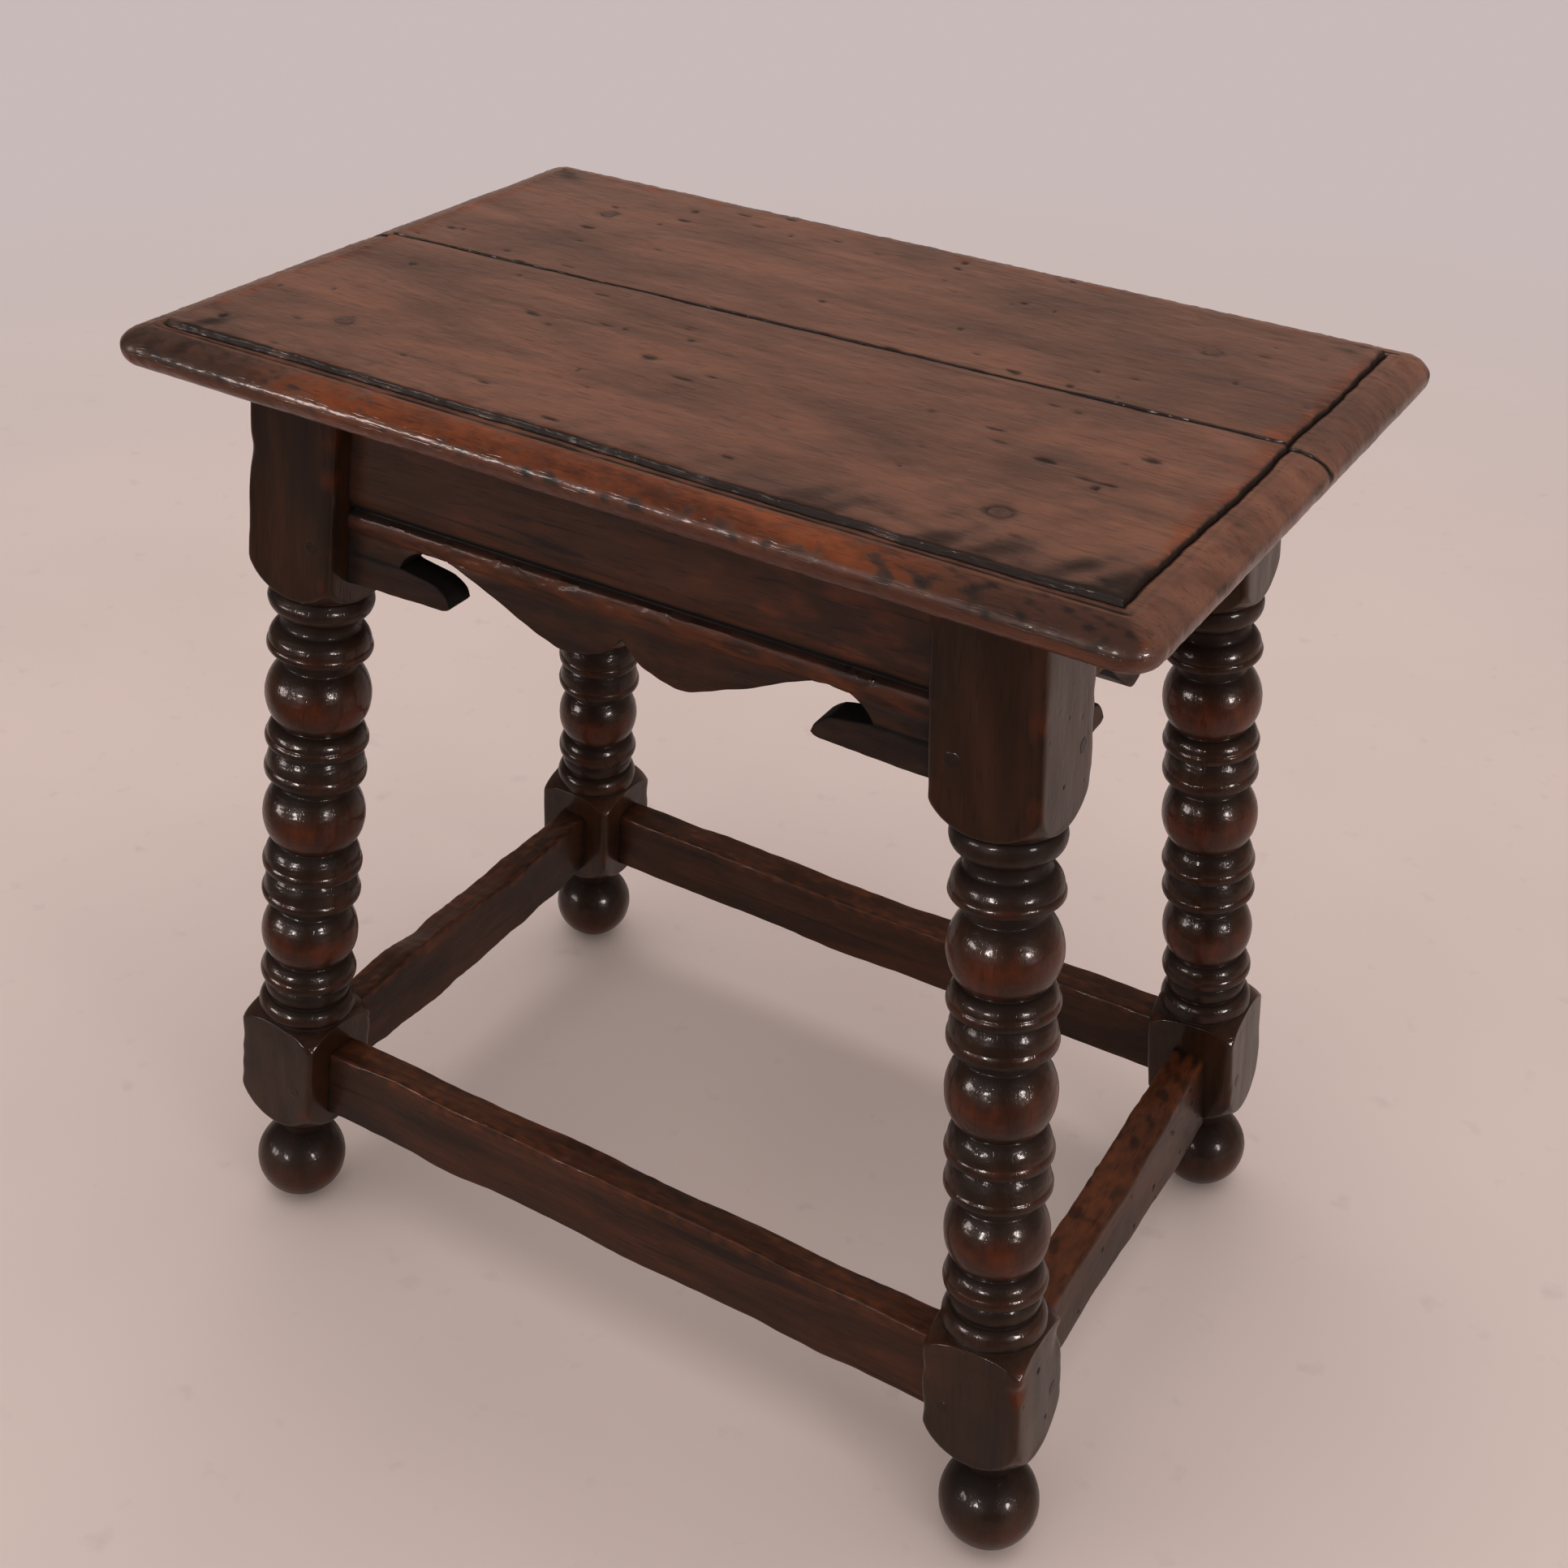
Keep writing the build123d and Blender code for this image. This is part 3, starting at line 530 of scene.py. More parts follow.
def board_surface(depth, seed, dent_depth):
    """One board: a plan grid that follows the rounded corners, with a height for its top and underside.

    Insets a and b from the end and the long edge give d, the lesser; where both are under the nosing's
    width the path at inset d is bent to an arc about the point that far in both ways. The top's height
    is a quarter ellipse over d, then the groove and the raised field. The underside is undercut.
    """
    half_x, half_y = TOP_HALF
    middle = np.linspace(EDGE_LINES[-1], 2 * half_x - EDGE_LINES[-1], 248)[1:-1]
    run = np.concatenate([EDGE_LINES, middle, 2 * half_x - EDGE_LINES[::-1]])
    x = run - half_x
    to_seam = half_y - depth * seam_at(x)
    share = np.linspace(0, 1, 72)[1:-1]
    inner = to_seam[:, None] - SEAM_LINES
    outer = np.broadcast_to(EDGE_LINES, (len(x), len(EDGE_LINES)))
    spread = outer[:, -1:] + share * (inner[:, :1] - outer[:, -1:])
    b = np.concatenate([outer, spread, inner], 1)
    a = np.broadcast_to((half_x - np.abs(x))[:, None], b.shape)
    gap = to_seam[:, None] - b

    d = np.minimum(a, b)
    end_share = ease(b - a, -5.0, 5.0)
    in_corner = (a < NOSING) & (b < NOSING)
    left = np.maximum(NOSING - d, 1e-9)
    sweep = np.where(b <= a, (NOSING - a) / left, 2 - (NOSING - b) / left) * math.pi / 4
    a_new = np.where(in_corner & (d < NOSING), NOSING - left * np.sin(sweep), a)
    b_new = np.where(in_corner & (d < NOSING), NOSING - left * np.cos(sweep), b)

    sign = np.sign(x)[:, None]
    flat = np.stack([sign * (half_x - a_new), depth * (half_y - b_new), 0 * b], -1)
    rim = 0.22 + 0.16 * wander(flat, 42, seed + 11) + 0.08 * wander(flat, 9, seed + 12)
    rim = np.maximum(rim, 0) * (1 - ease(d, 9.0, NOSING))
    ragged = 0.75 * wander(flat, 150, seed + 15) + 0.3 * wander(flat, 26, seed + 13)
    ragged = ragged + 0.16 * wander(flat, 6.5, seed + 14)
    ragged = ragged * ease(d, NOSING, 19.0) * (1 - ease(d, 23.0, 32.0))
    shift = rim + ragged
    plan = flat.copy()
    plan[..., 0] -= sign * shift * end_share
    plan[..., 1] -= depth * shift * (1 - end_share)

    long_side = nosing_height(d, NOSING, NOSING_RISE)
    long_side = np.where(d < NOSING, long_side, np.interp(d, *LONG_PROFILE.T))
    end_side = nosing_height(d, END_NOSING, END_RISE)
    end_side = np.where(d < END_NOSING, end_side, np.interp(d, *END_PROFILE.T))
    height = long_side + (end_side - long_side) * end_share
    field = ease(d, 20.7, 22.5)
    rng = np.random.default_rng(seed)
    count = 110
    spot_x, spot_y = rng.uniform(-230, 230, count), rng.uniform(0, 150, count) * depth
    spots = np.column_stack([spot_x, spot_y, np.zeros(count)])
    sizes = np.column_stack([rng.uniform(1.5, 7.5, count), rng.uniform(1.0, 3.4, count), np.ones(count)])
    pits = dents(flat, spots, sizes, rng.uniform(0.08, 0.5, count)) * dent_depth
    swell = 0.13 * wander(flat, (95, 40, 40), seed + 1) + 0.05 * wander(flat, (22, 8, 8), seed + 2) - 0.16
    near_peg = 1 - ease(peg_distances(flat).min(0), TOP_PEG_RADIUS + 1.0, TOP_PEG_RADIUS + 8.0)
    height = height + field * ((swell - pits) * (1 - near_peg) - 0.4 * near_peg)
    hammer = 0.12 * wander(flat, 8.0, seed + 3) + 0.12 * wander(flat, 4.6, seed + 4)
    height = height + (hammer - 0.16) * ease(d, 0, 2.0) * (1 - ease(d, 13.5, NOSING))
    width = 1.15 + 0.22 * wander(flat, 30, 73) + 0.12 * wander(flat, 7, 74)
    opening = np.clip(1 - gap / np.maximum(width, 0.7), 0, 1)
    away_from_edge = ease(d, 0, 4.0)
    height = height - (4.0 * opening + 0.22 * np.exp(-gap / 2.2)) * away_from_edge
    height = np.minimum(height, SEAT_HEIGHT)
    under = EDGE_LEVEL - UNDERCUT_RISE * np.sqrt(1 - np.clip((UNDERCUT - d) / UNDERCUT, 0, 1) ** 2)

    upper = np.concatenate([plan[..., :2], height[..., None]], -1)
    lower = np.concatenate([plan[..., :2], under[..., None]], -1)
    ring = np.concatenate([upper, lower[:, :0:-1]], 1)
    grain = own_timber(ring, (400.0, 130.0, 40.0), seed % 5)
    place = np.stack([*turned(ring[..., 0], ring[..., 1], TOP_TURN), ring[..., 2]], -1)
    wear, grime_and_shade = board_tones(flat, d, end_share, gap, depth, seed)
    grime_and_shade = np.clip(grime_and_shade + 0.85 * field * ease(pits, 0.12, 0.4), 0, 1)
    rounding = (1 - ease(d, 3.0, 8.0))[:, :0:-1]
    wear = np.concatenate([wear, 0.1 + 0.7 * rounding], 1)
    grime_and_shade = np.concatenate([grime_and_shade, 0.6 - 0.15 * rounding], 1)
    return patch(place, grain, wear, grime_and_shade, False)


def board_tones(flat, d, end_share, gap, depth, seed):
    """Where a board is rubbed to bright wood, and where wax and dirt have gathered, with painted shade in the
    grooves.
    """
    blotch = wander(flat, 24, seed + 21)
    fleck = wander(flat, (9, 5, 5), seed + 22)
    spots = np.clip(wander(flat, (11, 4.5, 4.5), seed + 23) + 0.6 * fleck - 0.6, 0, 1)
    inside = d - FIELD_INSET
    long_share = 1 - end_share
    reach = np.maximum(5.0 + 4.0 * end_share + 5.0 * blotch, 1.5)
    margin = np.clip(1.15 - inside / reach, 0, 1) * (inside > 0)
    wear = margin * (0.8 * end_share + np.clip(0.3 + 0.35 * blotch, 0, 1) * long_share)
    wear = wear + 0.1 * (inside > 0)
    upper_nosing = (0.5 + 0.5 * ease(d, 0.9, 2.2)) * (1 - ease(d, 12.4, 14.4))
    leftward = 1 - ease(flat[..., 0] + 12 * blotch, -195, -95)
    front = long_share * (depth < 0) * (1 - 0.8 * leftward)
    wear = wear + upper_nosing * (front * (0.85 + 0.2 * blotch) + (1 - front) * (0.1 + 0.22 * blotch))
    wear = wear * (1 - 0.9 * spots * (d < NOSING))
    # Dirt and painted shade in the groove between the nosing and the field.
    grime_and_shade = 0.8 * np.exp(-(((d - 15.7) / 0.9) ** 2)) + 1.15 * np.exp(-(((d - 20.3) / 0.85) ** 2))
    grime_and_shade = grime_and_shade + 0.34 * ease(d, 14.6, 15.6) * (inside < 0)
    grime_and_shade = grime_and_shade * (long_share * (0.85 + 0.25 * blotch) + 0.25 * end_share)
    grime_and_shade = grime_and_shade + end_share * np.exp(-(((d - 19.8) / 1.0) ** 2)) + 1.2 * np.exp(-((gap / 1.9) ** 2))
    on_nosing = 1 - ease(d, 13.0, NOSING)
    ends = np.maximum(0.6 * leftward, 0.62 * ease(flat[..., 0], 110, 215)) * long_share * (depth < 0)
    dull = np.maximum(0.34 * (1 - ease(d, 0.2, 2.0)), ends)
    patches = 0.3 * (1 - front) * ease(blotch, 0.0, 1.2)
    grime_and_shade = grime_and_shade + on_nosing * (dull + (0.16 + 0.34 * front) * spots + patches)
    band = (1 - ease(inside, 8.0, 36.0)) * (inside > 0) * long_share * (depth < 0)
    rightward = ease(flat[..., 0], 0, 170) * (inside > 0) * (depth < 0)
    grime_and_shade = grime_and_shade + 0.34 * band * np.clip(0.7 + 0.5 * blotch, 0, 1.2) + rightward * (0.17 + 0.12 * blotch)
    for gap_to_peg in peg_distances(flat):
        smudge = 1 - ease(gap_to_peg, TOP_PEG_RADIUS - 1.0, TOP_PEG_RADIUS + 5.0)
        grime_and_shade = grime_and_shade + (0.5 + 0.3 * fleck) * smudge
    field_x, field_y = (half - FIELD_INSET for half in TOP_HALF)
    from_corner = np.hypot(np.abs(flat[..., 0]) - field_x, np.abs(flat[..., 1]) - field_y)
    corner = np.clip(1 - from_corner / 45, 0, 1)
    grime_and_shade = grime_and_shade + corner * (inside > 0) * (0.65 + 0.35 * blotch)
    edge_dirt = np.clip(1 - inside / np.maximum(3.0 + 2.0 * fleck, 0.5), 0, 1)
    edge_dirt = edge_dirt * (inside > 0) * ease(-blotch, -0.3, 0.8)
    return np.clip(wear, 0, 1), np.clip(grime_and_shade + 0.5 * edge_dirt, 0, 1)


def peg_distances(flat):
    """How far each point of a board is from each of the four pegs, in the top's own frame."""
    pegs = [np.array(turned(*spot, -TOP_TURN)) for spot in TOP_PEGS]
    return np.stack([np.linalg.norm(flat[..., :2] - peg, axis=-1) for peg in pegs])


# ---- rails ----
def rail_face(height):
    """Outward offset of a rail's face at a height: flat, cove, deep quirk, bead, then set back."""
    cove_share = np.clip((COVE_TOP - height) / (COVE_TOP - QUIRK), 0, 1)
    cove = RAIL_FACE - 3.3 * cove_share**1.7 - 1.1 * np.exp(-(((height - QUIRK - 0.7) / 0.8) ** 2))
    rise = np.clip((height - BEAD_LOW) / (QUIRK - BEAD_LOW), 0, 1)
    bead = RAIL_FACE - LOWER_SETBACK - 0.9 + 2.4 * np.sqrt(np.clip(1 - (2 * rise - 1) ** 2, 0, 1)) ** 0.8
    bead = np.where(height > QUIRK - 0.6, np.minimum(bead, cove), bead)
    return np.where(height > QUIRK, cove, np.where(height > BEAD_LOW, bead, lower_face(height)))


def lower_face(height):
    """Outward offset of a rail's plain face below the bead, and of the hooks."""
    return np.full_like(height, RAIL_FACE - LOWER_SETBACK)


def rail_ring(low, high, soft_low, soft_high, face):
    """Section loops of a rail between two heights, as offset and height.

    In turn: face, lower arris, underside, lower back arris, back, upper back arris, top, upper arris.
    Soft gives the arrises' radii.
    """
    turn = np.linspace(0, math.pi / 2, 6)
    sin, cos = np.sin(turn), np.cos(turn)
    low, high, soft_low, soft_high = (v[:, None] for v in (low, high, soft_low, soft_high))
    start, stop = high - soft_high, low + soft_low
    marks = [COVE_TOP, QUIRK + 1.2, QUIRK - 0.2, BEAD_LOW]
    counts = (14, 9, 6, 13, 8)
    levels, above = [], start
    least = 0.12
    for k, (mark, count) in enumerate(zip(marks, counts)):
        below = np.clip(mark, stop + least * (5 - k), start - least * (k + 1))
        levels.append(above + (below - above) * np.linspace(0, 1, count, endpoint=False))
        above = below
    levels.append(above + (stop - above) * np.linspace(0, 1, counts[-1]))
    front_height = np.concatenate(levels, 1)
    front = face(front_height)
    foot = front[:, -1:]
    under_turn = np.stack([foot - soft_low * (1 - cos[1:]), stop - soft_low * sin[1:]], -1)
    back_inner = RAIL_BACK + soft_low
    under = foot - soft_low + (back_inner - foot + soft_low) * np.linspace(0, 1, 7)[1:]
    under = np.stack([under, np.broadcast_to(low, under.shape)], -1)
    back_turn = np.stack([back_inner - soft_low * sin[1:], low + soft_low * (1 - cos[1:])], -1)
    rear = stop + (start - stop) * np.linspace(0, 1, 12)[1:]
    rear = np.stack([np.full(rear.shape, RAIL_BACK), rear], -1)
    rear_turn = np.stack([RAIL_BACK + soft_high * (1 - cos[1:]), start + soft_high * sin[1:]], -1)
    crown = front[:, :1]
    over = RAIL_BACK + soft_high + (crown - RAIL_BACK - 2 * soft_high) * np.linspace(0, 1, 7)[1:]
    over = np.stack([over, np.broadcast_to(high, over.shape)], -1)
    front_turn = np.stack([crown - soft_high * (1 - sin[1:-1]), high - soft_high * (1 - cos[1:-1])], -1)
    front = np.stack([front, front_height], -1)
    return np.concatenate([front, under_turn, under, back_turn, rear, rear_turn, over, front_turn], 1)


def rail_patches(side, sign, seed):
    """A rail's body and its two hooks. side 1 runs along X and 0 along Y; sign is the face's way out."""
    along = 1 - side
    hook = LONG_HOOK if side == 1 else END_HOOK
    size = hook / LONG_HOOK
    tip = lean(along, TIP_HEIGHT, -LEG_HALF) - hook
    lobes = [(share * tip, height) for share, height in LOBES]
    slot = [(tip + run * size, height) for run, height in SLOT]
    edge_run, edge_height = smooth_curve(lobes + slot)
    corner = tip + SLOT[-1][0] * size
    shoulder = lean(along, SHARED_LINE, -LEG_HALF)
    steps = np.concatenate([
        np.linspace(0, tip - 4, 74), np.linspace(tip - 4, corner - 8 * size, 30)[1:],
        np.linspace(corner - 8 * size, corner, 26)[1:], np.linspace(corner, shoulder, 16)[1:],
    ])
    run = np.concatenate([-steps[:0:-1], steps])
    reach = np.abs(run)
    spine = line_of(run)
    low = np.where(reach < corner, np.interp(reach, edge_run, edge_height), SHARED_LINE)
    free = (1 - ease(reach, corner - 14, corner - 4)) * ease(reach, 0, 6)
    low = low + 0.35 * wander(spine, 28, seed) * free
    open_edge = 1 - ease(reach, corner - 2.5, corner)
    soft = np.maximum(0.75 + 0.35 * wander(spine, 14, seed + 1), 0.3) * open_edge + 0.02
    ends = corner, shoulder
    loop = rail_ring(low, np.full_like(run, TOP_UNDER), soft, np.full_like(run, 0.02), rail_face)
    patches = [rail_body(run, low, np.full_like(run, TOP_UNDER), loop, side, sign, ends, seed)]
    top_run, top_height = smooth_curve([(tip + r * size, h) for r, h in HOOK_TOP], spread=0.5)
    low_run, low_height = smooth_curve([(tip + r * size, h) for r, h in HOOK_LOW], spread=0.3)
    nose = tip + 12 * size
    for way in (-1, 1):
        reach = np.concatenate([
            tip + (nose - tip) * np.linspace(0.004, 1, 26) ** 1.6, np.linspace(nose, corner, 18)[1:],
            np.linspace(corner, shoulder, 14)[1:],
        ])
        high = np.where(reach < corner, np.interp(reach, top_run, top_height), SHARED_LINE)
        low = np.interp(reach, low_run, low_height)
        spine = line_of(way * reach)
        limit = 0.42 * (high - low)
        soft_low = np.minimum(np.maximum(0.8 + 0.35 * wander(spine, 12, seed + 2), 0.3), limit)
        soft_high = np.minimum(0.7 * (1 - ease(reach, corner - 2.5, corner)) + 0.02, limit)
        loop = rail_ring(low, high, soft_low, soft_high, lower_face)
        patches.append(rail_body(way * reach, low, high, loop, side, sign, ends, seed + 5))
    return patches


def rail_body(run, low, high, loop, side, sign, ends, seed):
    """Loops placed on the leaning plane, their ends slanted to the leg's inner face.

    Ends are the reach where the slant starts and the reach of the shoulder at the leg.
    """
    corner, shoulder = ends
    offset, height = loop[..., 0], loop[..., 1]
    reach = np.abs(run)[:, None]
    target = lean(1 - side, height, -LEG_HALF)
    share = np.clip((reach - corner) / (shoulder - corner), 0, 1)
    along = np.sign(run)[:, None] * (reach + share * (target - shoulder))
    local = np.stack([along, offset, height], -1)
    front = ease(offset, 4.0, 10.0)
    planed = 0.12 * wander(local, (40, 9, 9), seed + 7)
    split = 0.35 * wander(local, (70, 14, 14), seed + 8)
    rough = planed * front + split * (1 - front)
    bead_zone = ease(height, BEAD_LOW - 1, BEAD_LOW + 1) * (1 - ease(height, QUIRK - 1, QUIRK + 1))
    rough = rough - np.maximum(wander(local, (11, 6, 6), seed + 9) - 0.5, 0) * 0.5 * bead_zone * front
    offset = offset + rough * (1 - ease(height, TOP_UNDER - 3, TOP_UNDER))
    blotch = mottled(local, (30, 9, 9), seed + 10)
    edge = 1 - ease(height - low[:, None], 0.2, 2.2)
    wear = 0.08 + 0.16 * blotch + 0.5 * bead_zone * blotch * front + 0.3 * edge * front * blotch
    wear = wear + 0.45 * ease(along, 0, 130) * blotch * front * (height > QUIRK)
    # Painted shade: a dark band over the bead where the cove's shadow falls, and the top 12 mm darkened under
    # the seat's overhang. The back and underside are darker too.
    shadow_above_bead = np.exp(-(((height - QUIRK - 1.6) / 2.6) ** 2)) * front
    grime_and_shade = 1.2 * shadow_above_bead + 0.2 * ease(height, TOP_UNDER - 12, TOP_UNDER) + 0.3 * (1 - front)
    # Painted shade: the face below the bead is darker, as it gets less light than the upper part.
    grime_and_shade = grime_and_shade + (0.3 + 0.25 * blotch) * (1 - ease(height, BEAD_LOW - 3, BEAD_LOW)) * front
    slot_dirt = (1 - ease(height - low[:, None], 0.0, 1.2)) * ease(low[:, None], 425.0, 429.0)
    hook_dirt = (1 - ease(high[:, None] - height, 0.0, 1.6)) * (high[:, None] < 431)
    grime_and_shade = grime_and_shade + 0.8 * slot_dirt + 0.8 * hook_dirt
    # Painted shadow in the gap where the rail meets the leg, within 9 mm of the shoulder.
    dark_at_joint = np.clip(1 - (shoulder - reach) / 9.0, 0, 1)
    grime_and_shade = grime_and_shade + 0.6 * dark_at_joint
    place = place_bar(along, offset, height, side, sign)
    grain = own_timber(local, (210.0, 80.0, 33.0), seed % 9)
    return patch(place, grain, wear, grime_and_shade)


# ---- stretchers ----
# Heights of the four edges at a few shares of the run from end to end: outer top, inner top, outer
# bottom, inner bottom; then the arrises' softness in the same order, and the swell of the edges.
STRETCHER_SHAPES = {
    "front": (
        ((0, 0.5, 1), (118.5, 119.5, 119.0)), ((0, 1), (118.0, 118.0)),
        ((0, 1), (75.0, 75.0)), ((0, 1), (75.0, 75.0)), (2.2, 1.8, 1.2, 1.2), 0.9,
    ),
    "back": (
        ((0, 1), (118.0, 118.0)), ((0, 0.5, 1), (115.8, 113.2, 116.0)),
        ((0, 1), (75.0, 75.0)), ((0, 0.45, 1), (75.0, 73.0, 75.5)), (1.6, 2.6, 1.2, 1.0), 0.9,
    ),
    "left": (
        ((0, 0.5, 1), (119.0, 117.0, 119.5)), ((0, 0.3, 0.7, 1), (119.0, 122.0, 117.0, 119.0)),
        ((0, 1), (74.0, 73.0)), ((0, 0.4, 0.8, 1), (73.5, 68.5, 72.0, 74.0)), (2.2, 2.6, 1.4, 1.6), 1.2,
    ),
    "right": (
        ((0, 0.25, 0.5, 0.8, 1), (110.0, 105.0, 104.0, 109.0, 114.0)), ((0, 0.5, 1), (115.0, 114.0, 116.0)),
        ((0, 0.5, 0.85, 1), (72.0, 67.5, 62.5, 64.0)), ((0, 1), (74.0, 70.0)), (2.0, 2.4, 0.9, 1.4), 0.9,
    ),
}


def stretcher_surface(name, side, sign, seed):
    """A hewn bar: at each station a four-cornered section whose arrises are rounded by their own radii."""
    *edges, soft, swell = STRETCHER_SHAPES[name]
    along_side = 1 - side
    run = np.linspace(-1, 1, 190)
    share = (run + 1) / 2
    spine = line_of(run * 200)
    heights = []
    for k, (shares, values) in enumerate(edges):
        rough = swell * (0.75 * wander(spine, 75, seed + k) + 0.14 * wander(spine, 13, seed + k + 4))
        heights.append(np.interp(share, shares, values) + rough)
    outer_top, inner_top, outer_low, inner_low = heights
    half = STRETCHER_HALF + 0.35 * wander(spine, 90, seed + 9)
    corners = np.array([(half, outer_top), (half, outer_low), (-STRETCHER_HALF + 0 * half, inner_low),
                        (-STRETCHER_HALF + 0 * half, inner_top)]).transpose(0, 2, 1)
    radii = [soft[k] * np.maximum(1 + 0.25 * wander(spine, 30, seed + 12 + k), 0.4) for k in (0, 2, 3, 1)]
    loop = rounded_loop(corners, radii)
    offset, height = loop[..., 0], loop[..., 1]
    end = lean(along_side, height, -LEG_HALF)
    along = run[:, None] * end
    local = np.stack([along, offset, height], -1)
    offset = offset + 0.2 * wander(local, (80, 22, 22), seed + 17)
    offset = offset + 0.04 * wander(local, (12, 5, 5), seed + 18)
    height = height + 0.1 * wander(local, (40, 10, 10), seed + 19)
    at_leg = ease(np.abs(along) - end, -1.5, 0)
    blotch = mottled(local, (34, 9, 9), seed + 20)
    fleck = mottled(local, (10, 5, 5), seed + 21)
    top_middle = outer_top + (inner_top - outer_top) * 0.5
    on_top = ease(height, 96.0, 112.0) * ease(height - top_middle[:, None], -9.0, -2.5)
    from_arris = np.minimum(np.abs(offset - STRETCHER_HALF), np.abs(offset + STRETCHER_HALF))
    arris = np.exp(-from_arris / 1.6) * on_top
    wear = 0.08 + on_top * (0.1 + 0.45 * blotch * fleck) + 0.35 * arris * fleck
    dark_at_joint = np.clip(1 - (end - np.abs(along)) / 8, 0, 1)
    grime_and_shade = 0.25 * (1 - on_top) * blotch + 0.6 * dark_at_joint + 0.1 * at_leg
    bored = 0.0
    if name == "right":
        wear = wear + 0.3 * on_top
        grime_and_shade = grime_and_shade + 0.6 * on_top * ease(wander(local, (16, 8, 8), seed + 23), -0.1, 0.9)
        below_arris = ease(offset, 4.0, 8.0) * ease(outer_top[:, None] - height, 1.0, 4.0)
        bored = below_arris * ease(wander(local, 45, seed + 22), -0.4, 0.5)
    place = place_bar(along, offset, height, side, sign)
    grain = own_timber(local, (170.0, 61.0, 29.0), seed % 11)
    return patch(place, grain, wear, grime_and_shade, bored=bored)


def rounded_loop(corners, radii):
    """Loops with their corners cut back by a radius and turned with a parabola, sides left straight."""
    parts = []
    count = len(corners)
    turn = np.linspace(0, 1, 7)[:, None]
    for k in range(count):
        here, before, after = corners[k], corners[k - 1], corners[(k + 1) % count]
        cut = radii[k][:, None]
        start, end = here + unit(before - here) * cut, here + unit(after - here) * cut
        bend = [(1 - t) ** 2 * start + 2 * t * (1 - t) * here + t * t * end for t in turn]
        next_start = after + unit(here - after) * radii[(k + 1) % count][:, None]
        side = [end + (next_start - end) * t for t in np.linspace(0, 1, 9)[1:-1]]
        parts += bend + side
    return np.stack(parts, 1)


# ---- pegs ----
def peg_patch(centre, normal, radius, proud, seed, dirt_and_shade, rim_dirt):
    """A riven peg end: an uneven round that rises from inside the wood to a low worn dome."""
    normal = unit(np.array(normal, float))
    first = unit(np.cross(normal, (0.3, 0.5, 0.81)))
    second = np.cross(normal, first)
    angle = np.linspace(0, TURN, 40, endpoint=False)
    ray = np.cos(angle)[:, None] * first + np.sin(angle)[:, None] * second
    outline = radius * (0.97 + 0.035 * wander(ray, 1.3, seed) + 0.02 * np.cos(8 * angle + seed))
    steps = (
        (1.0, -3.0), (1.0, -1.0), (1.0, proud - 0.3), (0.95, proud - 0.12), (0.84, proud - 0.03),
        (0.66, proud), (0.46, proud), (0.28, proud), (0.12, proud),
    )
    rings = [centre + share * outline[:, None] * ray + level * normal for share, level in steps]
    points = np.stack(rings)
    points = points + (0.05 * wander(points, 2.5, seed + 1))[..., None] * normal
    rim = np.array([1, 1, 1, 0.7, 0.2, 0.05, 0, 0, 0])[:, None] * np.ones(len(angle))
    local = points - centre
    grain = np.stack([local @ normal, local @ first, local @ second], -1) + 13.0 * seed
    return patch(points, grain, 0 * rim, dirt_and_shade + rim_dirt * rim)


def side_peg_patches(height, seed):
    """The eight pegs at one height, one on each outer face of each leg."""
    patches = []
    for k, (side, depth) in enumerate(CORNERS.values()):
        proud = 0.14 if (side, depth) == (1, -1) and height > 400 else 0.04
        front = np.array([side * lean(0, height, PEG_INSET), depth * lean(1, height, LEG_HALF), height])
        flank = np.array([side * lean(0, height, LEG_HALF), depth * lean(1, height, PEG_INSET), height])
        patches.append(peg_patch(front, (0, depth, SPLAY[1]), PEG_RADIUS, proud, seed + k, 0.2, 0.2))
        patches.append(peg_patch(flank, (side, 0, SPLAY[0]), PEG_RADIUS, 0.04, seed + k + 4, 0.2, 0.2))
    return patches


def top_peg_patches(seed):
    """The four pegs that hold the top, worn level with it."""
    return [
        peg_patch(np.array([*spot, SEAT_HEIGHT - 0.5]), (0, 0, 1), TOP_PEG_RADIUS, 0.08, seed + k, 0.5, 0.1)
        for k, spot in enumerate(TOP_PEGS)
    ]


# ---- finishes ----
def linear(code):
    """A colour written as sRGB hex, as the linear red, green, blue and alpha that Blender holds."""
    values = [int(code[k : k + 2], 16) / 255 for k in (1, 3, 5)]
    return tuple(v / 12.92 if v <= 0.04045 else ((v + 0.055) / 1.055) ** 2.4 for v in values) + (1.0,)


def add_node(tree, kind, inputs=(), **settings):
    """Add a shader node with its settings, set or link its inputs, and give back its outputs.

    Inputs are a dictionary by name or number, or values in the order of the node's own.
    """
    node = tree.nodes.new(kind)
    for key, value in settings.items():
        setattr(node, key, value)
    for key, value in inputs.items() if isinstance(inputs, dict) else enumerate(inputs):
        if isinstance(value, bpy.types.NodeSocket):
            tree.links.new(value, node.inputs[key])
        else:
            node.inputs[key].default_value = value
    return node.outputs


def cleared_tree(owner):
    """The empty node tree of a new material or world."""
    owner.use_nodes = True
    owner.node_tree.nodes.clear()
    return owner.node_tree


